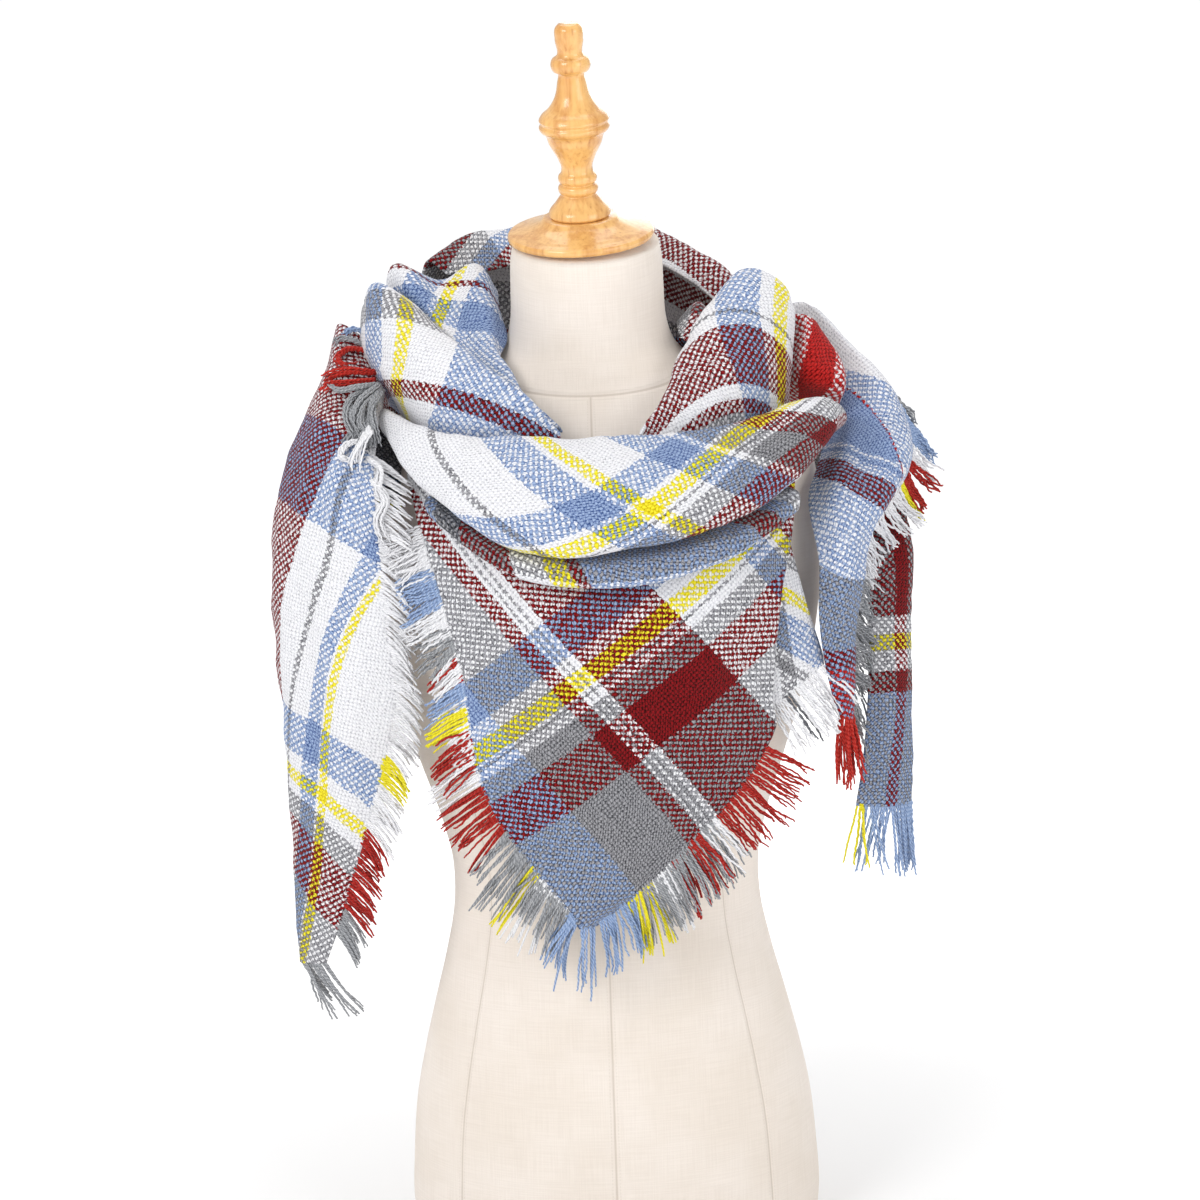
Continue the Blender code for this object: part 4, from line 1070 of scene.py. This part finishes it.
def cloth_material(name, family_a, family_b):
    """Loose brushed plain weave: each crossing shows the yarn of one family or the other."""
    n = Nodes(name)
    weave = n.uv("weave")
    yarn_a, yarn_b = n.split(weave)
    stripe_a, stripe_b = n.split(n.uv("stripes"))

    # Where each yarn runs, in pitches: it sways between its crossings and wanders.
    drift = n.noise(weave, 0.22) * 1.6 - 0.8
    jitter = n.noise(weave, 1.3)
    wobble = jitter - 0.5
    at_a = n.sine(yarn_b * TURN) * YARN_SWAY + yarn_a + (drift + wobble)
    at_b = n.sine(yarn_a * TURN) * YARN_SWAY + yarn_b + (drift - wobble)
    round_a = n.sine(at_a * math.pi)
    round_b = n.sine(at_b * math.pi)
    wide_a = abs(round_a)
    wide_b = abs(round_b)

    # Which yarn lies on top: the crossings alternate, and thick places and ragged fibres shift them.
    thick_a = n.noise(n.scaled(weave, (0.9, 0.24, 1.0)), 1.0)
    thick_b = n.noise(n.scaled(weave, (0.24, 0.9, 1.0)), 1.0)
    ragged = n.noise(weave, 2.7, 4.0, 0.75) * 2.6 - 1.3
    over = round_a * round_b + (wide_a - wide_b) * 0.12 + (thick_a - thick_b) * 1.5 + ragged
    on_top = n.smooth_step(over, -0.08, 0.08)
    spread = jitter * STRIPE_SPREAD - STRIPE_SPREAD / 2
    colour_a = n.bands(stripe_a + spread, family_a)
    colour_b = n.bands(stripe_b + spread, family_b)
    colour = n.mix(on_top, colour_b, colour_a)

    # Light: less at a yarn's sides and ends, between its plies, among its fibres and in the gaps.
    fibres = n.noise(weave, 5.0, 3.0, 0.7)
    ply_a = n.sine((yarn_b * PLY_TURNS + at_a) * TURN)
    ply_b = n.sine((yarn_a * PLY_TURNS + at_b) * TURN)
    ply = ply_b + on_top * (ply_a - ply_b)
    across_top = on_top * (wide_a - wide_b) + wide_b
    along_top = wide_a + wide_b - across_top
    sides = jitter * 0.6 + across_top - 0.3
    edge = n.smooth_step(sides, 0.12, 0.62, 0.10) * n.smooth_step(along_top, 0.0, 0.45, 0.40)
    gap = n.math("MAXIMUM", wide_a, wide_b) + jitter * 0.9 - 0.45
    body = edge * n.smooth_step(gap, 0.30, 0.85, 0.25)
    light = body * (fibres * 1.5 + 0.22)
    light = n.math("MULTIPLY", light, n.smooth_step(ply, -1.0, 0.2, 0.40), clamp=True)
    passed = n.mix(LIGHT_PASSED, n.vector_math("MULTIPLY", colour_a, colour_b), colour)
    hole = n.smooth_step(gap, 0.10, 0.55, 0.60)
    colour = n.vector_math("MULTIPLY", n.shaded(colour, light, passed), hole)
    return n.finish(colour, body * 0.9 + fibres * 0.5, 0.0007, 0.7, {
        "Roughness": 0.92,
        "Specular IOR Level": 0.08,
        "Sheen Weight": 0.10,
        "Sheen Roughness": 0.5,
    })


def yarn_material():
    """Twisted soft yarn in the colour held by each vertex."""
    n = Nodes("fringe_twisted_yarn")
    colour = n.add("Attribute", {}, attribute_name="yarn").outputs["Color"]
    strand = n.uv("strand")
    around, along = n.split(strand)
    twist = n.sine(around * (2 * TURN) + along * YARN_TWIST)
    fibres = n.noise(strand, 7.0, 3.0, 0.7)
    light = n.math("ADD", twist * 0.40 + 0.44, fibres * 0.55, clamp=True)
    passed = n.vector_math("MULTIPLY", colour, (0.8, 0.8, 0.8))
    return n.finish(n.shaded(colour, light, passed), twist + fibres, 0.0003, 0.6, {
        "Roughness": 0.92,
        "Specular IOR Level": 0.08,
        "Sheen Weight": 0.12,
    })


def linen_material():
    """Cream jersey of fine uneven threads, with sewn seams along the princess lines and the neck."""
    n = Nodes("form_cream_linen")
    cloth = n.uv("cloth")
    around, height = n.split(cloth)
    turn, above_neck = n.split(n.uv("seams"))
    weave = n.sine(around * (TURN / LINEN_PITCH)) * n.sine(height * (TURN / LINEN_PITCH))
    slubs = [n.noise(n.scaled(cloth, size), 1.0, 3.0) for size in ((0.03, 1.1, 1.0), (1.1, 0.03, 1.0))]
    thread = (slubs[0] + slubs[1]) * 0.5

    # Distance from the nearest seam, about in millimetres. The neck has no upright seams.
    nearest = abs(turn - SEAM_TURNS[0]) * FORM_ROUND
    for place in SEAM_TURNS[1:]:
        nearest = n.math("MINIMUM", nearest, abs(turn - place) * FORM_ROUND)
    nearest = nearest + n.math("GREATER_THAN", above_neck, 0.0) * FAR_OFF
    nearest = n.math("MINIMUM", nearest, abs(above_neck))
    line = n.smooth_step(nearest, 0.3, 1.1, 1.0, 0.0)
    beside = n.smooth_step(abs(nearest - STITCH_PITCH), 0.2, 0.6, 1.0, 0.0)
    stitch = n.math("GREATER_THAN", n.sine(height * (TURN / STITCH_PITCH)), -0.3) * beside

    mottled = n.smooth_step(n.noise(cloth, 0.012, 3.0), 0.35, 0.65)
    base = n.mix(mottled, (0.815, 0.735, 0.655, 1), (0.860, 0.785, 0.715, 1))
    base = n.mix(n.smooth_step(thread, 0.38, 0.62), n.mix(0.14, base, (0.52, 0.44, 0.36, 1)), base)
    base = n.mix(line * 0.40, base, (0.40, 0.32, 0.25, 1))
    base = n.mix(stitch * 0.14, base, (0.42, 0.35, 0.28, 1))
    relief = weave * 0.18 + thread * 0.7 + n.smooth_step(nearest, 0.0, 3.2, -1.6, 0.0)
    return n.finish(base, relief, 0.0006, 0.6, {
        "Roughness": 0.85,
        "Specular IOR Level": 0.2,
        "Sheen Weight": 0.15,
    })


def wood_material(name):
    """Honey-coloured turned wood under varnish, with figure and fine streaks along the leaning axis."""
    n = Nodes(name)
    place = n.position()
    lean = (math.radians(AXIS_FORWARD), 0.0, 0.0)
    figure = n.noise(n.scaled(place, (30, 30, 3.0), lean), 1.0, 4.0, 0.55)
    streak = n.noise(n.scaled(place, (330, 330, 16.0), lean), 1.0, 3.0, 0.6)
    rings = n.smooth_step(n.sine(figure * 26.0), -0.6, 1.0)
    grain = rings * 0.22 + streak * 0.85
    colour = n.mix(n.smooth_step(grain, 0.25, 0.95), (0.84, 0.49, 0.165, 1), (0.58, 0.245, 0.052, 1))
    colour = n.mix(n.smooth_step(streak, 0.60, 0.74) * 0.35, colour, (0.34, 0.12, 0.022, 1))
    return n.finish(colour, streak, 0.0002, 0.25, {
        "Roughness": streak * 0.16 + 0.27,
        "Coat Weight": 0.65,
        "Coat Roughness": 0.12,
    })


def floor_material():
    n = Nodes("floor_pale")
    cloudy = n.noise(n.position(), 0.9, 3.0)
    far = n.add("VectorMath", {0: n.position()}, operation="LENGTH").outputs["Value"]
    n.wire(n.mix(cloudy, (0.80, 0.80, 0.805, 1), (0.83, 0.83, 0.832, 1)), n.shader.inputs["Base Color"])
    # Painted light: the floor glows, faintly near the form and more further off, so that it fades into the
    # white room; the glow also lights the pieces a little from below.
    n.wire(n.smooth_step(far, 0.2, 1.4, 0.12, 0.60), n.shader.inputs["Emission Strength"])
    for key, value in (("Emission Color", (*ONES, 1.0)), ("Roughness", 0.7), ("Specular IOR Level", 0.1)):
        n.wire(value, n.shader.inputs[key])
    return n.material


# --------------------------------------------------------------- dress form

def torso():
    """The form as a smooth lathe of ovals with a rounded foot."""
    rings = smooth_through(FORM_RINGS[:-1], TORSO_RINGS)
    _, half_width, front, back, _ = rings[0]
    low = [(height, half_width + inset, front - inset, back + inset, 0.0) for height, inset in FORM_FOOT]
    rings = np.array(low + [tuple(ring) for ring in rings if ring[0] > FOOT_TOP])
    turn = np.linspace(0, 1, FORM_SIDES + 1)
    angle = TURN * turn + math.pi / 2
    height, half_width, front, back, tilt = (rings[:, k][:, None] for k in range(5))
    offset = ((back - front) / 2 - FORM_INSET) * np.sin(angle)
    z = height + offset * np.tan(np.radians(tilt))
    points = np.stack([(half_width - FORM_INSET) * np.cos(angle) + 0 * z, (front + back) / 2 + offset, z],
                      axis=-1)
    around = np.concatenate([np.zeros((len(rings), 1)), np.cumsum(spans(points, 1), axis=1)], axis=1)
    around = around - around[:, [FORM_SIDES // 2]]
    up = places_of(spans(points).mean(axis=1))[:, None] + 0 * around
    facing = -np.cos(TURN * turn)
    far = np.where(facing > 0, NECK_SEAM_FRONT, NECK_SEAM_BACK)
    seam = NECK_SEAM_SIDE + (far - NECK_SEAM_SIDE) * facing**2
    cloth = np.stack([around, up], axis=-1)
    seams = np.stack([np.broadcast_to(turn, z.shape), z - seam], axis=-1)
    numbers = numbered(*z.shape)
    faces = facets(numbers).tolist() + [numbers[0, -2::-1].tolist(), numbers[-1, :-1].tolist()]
    uvs = [("cloth", cloth.reshape(-1, 2)), ("seams", seams.reshape(-1, 2))]
    made = make_mesh("dress_form_torso", points.reshape(-1, 3), faces, uvs)
    made.data.materials.append(linen_material())
    weld(made)
    return made


def on_axis(distance, radius, turn):
    """Points at those distances along the leaning axis and those radii from it."""
    forward = math.radians(AXIS_FORWARD)
    left = math.radians(AXIS_LEFT)
    x = radius * np.cos(turn)
    y = radius * np.sin(turn)
    leaned_y = y * math.cos(forward) - distance * math.sin(forward)
    leaned_z = y * math.sin(forward) + distance * math.cos(forward)
    turned_x = x * math.cos(left) - leaned_z * math.sin(left)
    turned_z = x * math.sin(left) + leaned_z * math.cos(left)
    return np.stack([turned_x, leaned_y, turned_z], axis=-1) + AXIS_FOOT


def turned(name, rings, sides):
    """A smooth turned piece through the rings of its solid, with closed ends."""
    profile = smooth_through(rings, TURNED_FINENESS * len(rings))
    profile = np.concatenate([[[profile[0, 0], 0.01]], profile, [[profile[-1, 0], 0.01]]])
    turn = np.linspace(0, TURN, sides + 1)
    points = on_axis(profile[:, :1] + 0 * turn, profile[:, 1:] + 0 * turn, turn + 0 * profile[:, :1])
    made = make_mesh(name, points.reshape(-1, 3), facets(numbered(*points.shape[:2])).tolist())
    made.data.materials.append(wood_material(name + "_wood"))
    weld(made)
    return made


# ------------------------------------------------------------------ fringes

def edge_of(grid, side, inset=0):
    """Values along one edge of a grid, or along the line inset points inside it."""
    return {
        "first": grid[:, inset],
        "last": grid[:, -1 - inset],
        "start": grid[inset],
        "end": grid[-1 - inset],
    }[side]


def read_at(places, values, shares):
    return np.stack([np.interp(shares, places, values[:, k]) for k in range(values.shape[1])], axis=-1)


def tapered(share, low, high, chance):
    """Radii along a strand of random thickness."""
    return STRAND_RADIUS * chance.uniform(low, high) * (1.0 - STRAND_TAPER * share[:, 0] ** 3)


def fringe_strands(grid, stripes, plaid, side, start, end, length, hang_start, hang_end, colours, chance):
    """Centre lines, radii and colours of the loose yarns along a hem."""
    edge = edge_of(grid, side)
    along = unit(np.gradient(edge, axis=0))
    outward = edge - edge_of(grid, side, 1)
    outward = unit(outward - along * (outward * along).sum(axis=-1, keepdims=True))
    steps = spans(edge)
    places = places_of(steps) / steps.sum()
    count = max(3, int(steps.sum() * (end - start) / STRAND_PITCH))
    own = (np.arange(count) + 0.5 + chance.uniform(-STRAND_SHIFT, STRAND_SHIFT, count)) / count
    shares = start + own * (end - start)
    root = read_at(places, edge, shares)
    outward = unit(read_at(places, outward, shares))
    normal = unit(read_at(places, edge_of(sheet_normals(grid), side), shares))
    hang = unit(np.asarray(hang_start) * (1 - own[:, None]) + np.asarray(hang_end) * own[:, None])
    at_hem = None if stripes is None else read_at(places, edge_of(stripes, side), shares)
    lock = np.cumsum(chance.uniform(0, 1, count) < LOCK_STARTS)
    lean = chance.normal(0, LOCK_LEAN, (lock.max() + 1, 3))
    reach = length * chance.uniform(*LOCK_LENGTHS, lock.max() + 1)
    share = np.linspace(0, 1, STRAND_POINTS)[:, None]
    strands = []
    for k in range(count):
        direction = unit(hang[k] + lean[lock[k]] + chance.normal(0, STRAND_LEAN, 3))
        own_reach = reach[lock[k]] * chance.uniform(*STRAND_LENGTHS)
        curl = unit(np.cross(direction, outward[k] + 1e-3))
        wave = chance.uniform(*CURL_WIDTHS)
        phase = chance.uniform(0, TURN)
        # It leaves the hem almost in the cloth's plane, bends into its own direction and waves a little.
        leave = unit(direction * 0.45 + outward[k] * 0.55)
        path = root[k] - outward[k] * ROOT_DEPTH + normal[k] * chance.uniform(*ROOT_HEIGHTS)
        path = path + own_reach * (leave * share * (1 - share * 0.5) * 0.9 + direction * share**1.35 * 0.62)
        path = path + curl * wave * share * np.sin(share * 7.5 + phase)
        path = path + normal[k] * 0.6 * wave * share * np.cos(share * 6.0 + phase)
        crimp = own_reach * share * TURN / STRAND_CRIMP + phase
        path = path + (curl * np.sin(crimp) + normal[k] * np.cos(crimp)) * CRIMP_WIDTH * (1 - share * 0.4)
        if isinstance(colours, str):
            family = "AB".index(colours)
            key = band_colour(plaid[family][1], at_hem[k, family])
        else:
            key = band_colour(colours, own[k])
        strands.append((path, tapered(share, 0.85, 1.15, chance), STRAND_COLOURS[key]))
    return strands


def frames_along(path, hint):
    """Two unit vectors across a path at each of its points."""
    along = unit(np.gradient(path, axis=0))
    across = unit(np.cross(along, np.array(hint)))
    return across, np.cross(along, across)


def lock_strands(count, spread, colour, line, chance):
    """Loose yarns that curl together along a smooth line and open towards their ends."""
    middle = smooth_through(line, LOCK_STEPS)
    places = np.linspace(0, 1, len(middle))
    across, third = frames_along(middle, (0.2, 0.9, 0.4))
    length = spans(middle).sum()
    share = np.linspace(0, 1, STRAND_POINTS)[:, None]
    strands = []
    for _ in range(count):
        at = share[:, 0] * chance.uniform(0.80, 1.0)
        turn = chance.uniform(0, TURN) + chance.uniform(-1.0, 1.0) * share
        reach = spread * math.sqrt(chance.uniform(0.05, 1.0)) * (0.5 + 0.5 * share)
        crimp = length * share * TURN / STRAND_CRIMP + chance.uniform(0, TURN)
        sideways = reach * np.cos(turn) + CRIMP_WIDTH * np.sin(crimp)
        forward = 0.6 * reach * np.sin(turn) + CRIMP_WIDTH * np.cos(crimp)
        path = read_at(places, middle, at) + read_at(places, across, at) * sideways
        path = path + read_at(places, third, at) * forward
        strands.append((path, tapered(share, 0.80, 1.05, chance), STRAND_COLOURS[colour]))
    return strands


def strand_mesh(name, strands):
    """Tapering tubes along the strands' centre lines, in one mesh."""
    turn = TURN * np.arange(STRAND_SIDES)[:, None] / STRAND_SIDES
    tube = closed_facets(STRAND_POINTS, STRAND_SIDES)
    size = STRAND_POINTS * STRAND_SIDES
    near_end = np.arange(STRAND_SIDES)[::-1]
    far_end = np.arange(size - STRAND_SIDES, size)
    vertices, faces, uvs, colours = [], [], [], []
    for number, (path, radius, colour) in enumerate(strands):
        across, third = frames_along(path, (0.31, 0.87, 0.38))
        spokes = across[:, None] * np.cos(turn) + third[:, None] * np.sin(turn)
        vertices.append((path[:, None] + radius[:, None, None] * spokes).reshape(-1, 3))
        for corners in (tube, near_end[None], far_end[None]):
            faces += (corners + number * size).tolist()
        around, along = np.meshgrid(turn[:, 0] / TURN, places_of(spans(path)))
        uvs.append(np.stack([around.ravel(), along.ravel()], axis=1))
        colours += [(*colour, 1.0)] * size
    return make_mesh(name, np.concatenate(vertices), faces, [("strand", np.concatenate(uvs))], colours)


# -------------------------------------------------------------------- build

def build_form():
    pieces = [
        (torso(), "form_body", "form_linen"),
        (turned("dress_form_cap", CAP_RINGS, CAP_SIDES), "form_neck_cap", "cap_wood"),
        (turned("dress_form_finial", FINIAL_RINGS, FINIAL_SIDES), "form_finial", "cap_wood"),
    ]
    for made, node, slot in pieces:
        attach(made, "root")
        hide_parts(node)


def tucked(node):
    """The sections of a stretch, with its tucked edge points moved."""
    sections = np.array(STRETCHES[node][0], float)
    for stretch, rows, column, move in TUCKED:
        if stretch == node:
            sections[list(rows), column] += move
    return sections


def build_cloth():
    """Makes the sheets and returns them with their fine grids, flat coordinates and stripe coordinates."""
    laid = {}
    for node in STRETCHES:
        grid = fine_sheet(tucked(node), CLOTH_STEP)
        flat = stretched_out(laid_flat(grid[::FLAT_EVERY, ::FLAT_EVERY]), FLAT_EVERY)
        family_a, family_b = PLAID[node]
        stripes = np.stack([family_coordinate(flat, family[0]) for family in PLAID[node]], axis=-1)
        weave = weave_coordinates(flat, family_a[0])
        grid = folded(node, grid, flat)
        vertices, faces, (weave_uv, stripe_uv) = rounded_wall(grid, [weave, stripes])
        name = node.replace("scarf_", "plaid_")
        made = make_mesh(name, vertices, faces, [("weave", weave_uv), ("stripes", stripe_uv)])
        made.data.materials.append(cloth_material(name, family_a[1], family_b[1]))
        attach(made, "root")
        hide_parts(node)
        laid[node] = (made, grid, flat, stripes)
    return laid


def build_fringes(laid):
    """Makes one piece for each fringe node and returns them by the stretch that carries them."""
    chance = np.random.default_rng(FRINGE_SEED)
    strands = {}
    carried = {node: "scarf_left_tail" for node, *_ in LOCKS}
    for node, stretch, *row in FRINGES:
        if stretch in laid:
            _, grid, _, stripes = laid[stretch]
            hem = (grid, stripes, PLAID[stretch])
            carried[node] = stretch
        else:
            hem = (sheet_points(LEFT_SHOULDER_HEM, *HEM_FACETS), None, None)
        strands.setdefault(node, []).extend(fringe_strands(*hem, *row, chance))
    for node, *row in LOCKS:
        strands.setdefault(node, []).extend(lock_strands(*row, chance))
    material = yarn_material()
    pieces = {}
    for node, lines in strands.items():
        made = strand_mesh(node.replace("fringe_", "yarns_"), lines)
        made.data.materials.append(material)
        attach(made, "root")
        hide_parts(node)
        pieces.setdefault(carried[node], []).append(made)
    return pieces


def flat_area(flat):
    """Area of the flat grid, in square millimetres."""
    a, b = flat[1:, 1:] - flat[:-1, :-1], flat[1:, :-1] - flat[:-1, 1:]
    return np.abs(a[..., 0] * b[..., 1] - a[..., 1] * b[..., 0]).sum() / 2


def declare_sheets(laid, fringes):
    for node, (made, _, flat, _) in laid.items():
        size = (flat.max(axis=(0, 1)) - flat.min(axis=(0, 1))) * MM
        area = flat_area(flat) * MM * MM
        float(min(max(area, LEAST_FILL * size[0] * size[1]), size[0] * size[1]))


# ------------------------------------------------------------- floor, light

CAMERA_PLACE = (0.002, -2.2, 0.88)
CAMERA_AIM = (0.002, 0.0, 0.50)
CAMERA_ROLL = 1.9
CAMERA_LENS = 87.0
ROOM_LIGHT = 0.60        # what the white room gives the pieces, and how bright it is itself
ROOM_SEEN = 1.02
FLOOR_SIDES = 96
FLOOR_RADII = (900.0, 3000.0, 14000.0)

# name, place, aim, size, power
LAMPS = [
    ("key_left", (-1.9, -2.4, 2.1), (0.0, 0.0, 0.50), 1.4, 46.0),
    ("fill_right", (2.2, -2.0, 1.3), (0.0, 0.0, 0.45), 1.6, 21.0),
    ("top", (0.0, 0.3, 2.6), (0.0, 0.0, 0.5), 1.6, 16.0),
    ("back", (0.6, 2.4, 1.7), (0.0, 0.0, 0.5), 1.6, 16.0),
]


def build_floor():
    turns = [TURN * j / FLOOR_SIDES for j in range(FLOOR_SIDES)]
    vertices = [(0.0, 0.0, 0.0)]
    vertices += [(r * math.cos(turn), r * math.sin(turn), 0.0) for r in FLOOR_RADII for turn in turns]
    faces = [(0, 1 + j, 1 + (j + 1) % FLOOR_SIDES) for j in range(FLOOR_SIDES)]
    faces += (closed_facets(len(FLOOR_RADII), FLOOR_SIDES) + 1)[:, ::-1].tolist()
    floor = make_mesh("studio_floor", vertices, faces)
    floor.data.materials.append(floor_material())


def aimed(place, aim, roll=0.0):
    """Matrix at place that looks at aim, turned about its own view by roll degrees."""
    back = (Vector(place) - Vector(aim)).normalized()
    right = Vector((0, 0, 1)).cross(back).normalized()
    up = back.cross(right)
    turn = math.radians(roll)
    side = right * math.cos(turn) - up * math.sin(turn)
    top = right * math.sin(turn) + up * math.cos(turn)
    return Matrix.Translation(place) @ Matrix((side, top, back)).transposed().to_4x4()


def white_room():
    """A world that is white to the camera and lights the scene softly."""
    world = bpy.data.worlds.new("studio_white")
    world.use_nodes = True
    tree = world.node_tree
    background = tree.nodes["Background"]
    background.inputs["Color"].default_value = (*ONES, 1.0)
    seen = tree.nodes.new("ShaderNodeLightPath")
    strength = tree.nodes.new("ShaderNodeMapRange")
    strength.inputs["To Min"].default_value = ROOM_LIGHT
    strength.inputs["To Max"].default_value = ROOM_SEEN
    tree.links.new(seen.outputs["Is Camera Ray"], strength.inputs["Value"])
    tree.links.new(strength.outputs["Result"], background.inputs["Strength"])
    return world


def build_studio():
    scene = bpy.context.scene
    for name, place, aim, size, power in LAMPS:
        lamp = bpy.data.lights.new(name, "AREA")
        lamp.size = size
        lamp.energy = power
        made = bpy.data.objects.new(name, lamp)
        made.matrix_world = aimed(place, aim)
        scene.collection.objects.link(made)
    scene.world = white_room()
    scene.view_settings.view_transform = "Standard"
    lens = bpy.data.cameras.new("photo_camera")
    lens.lens = CAMERA_LENS
    lens.sensor_width = 36.0
    lens.clip_end = 60.0
    camera = bpy.data.objects.new("photo_camera", lens)
    camera.matrix_world = aimed(CAMERA_PLACE, CAMERA_AIM, CAMERA_ROLL)
    scene.collection.objects.link(camera)
    bpy.context.scene.camera = camera


build_form()
cloth = build_cloth()
declare_sheets(cloth, build_fringes(cloth))
build_floor()
build_studio()
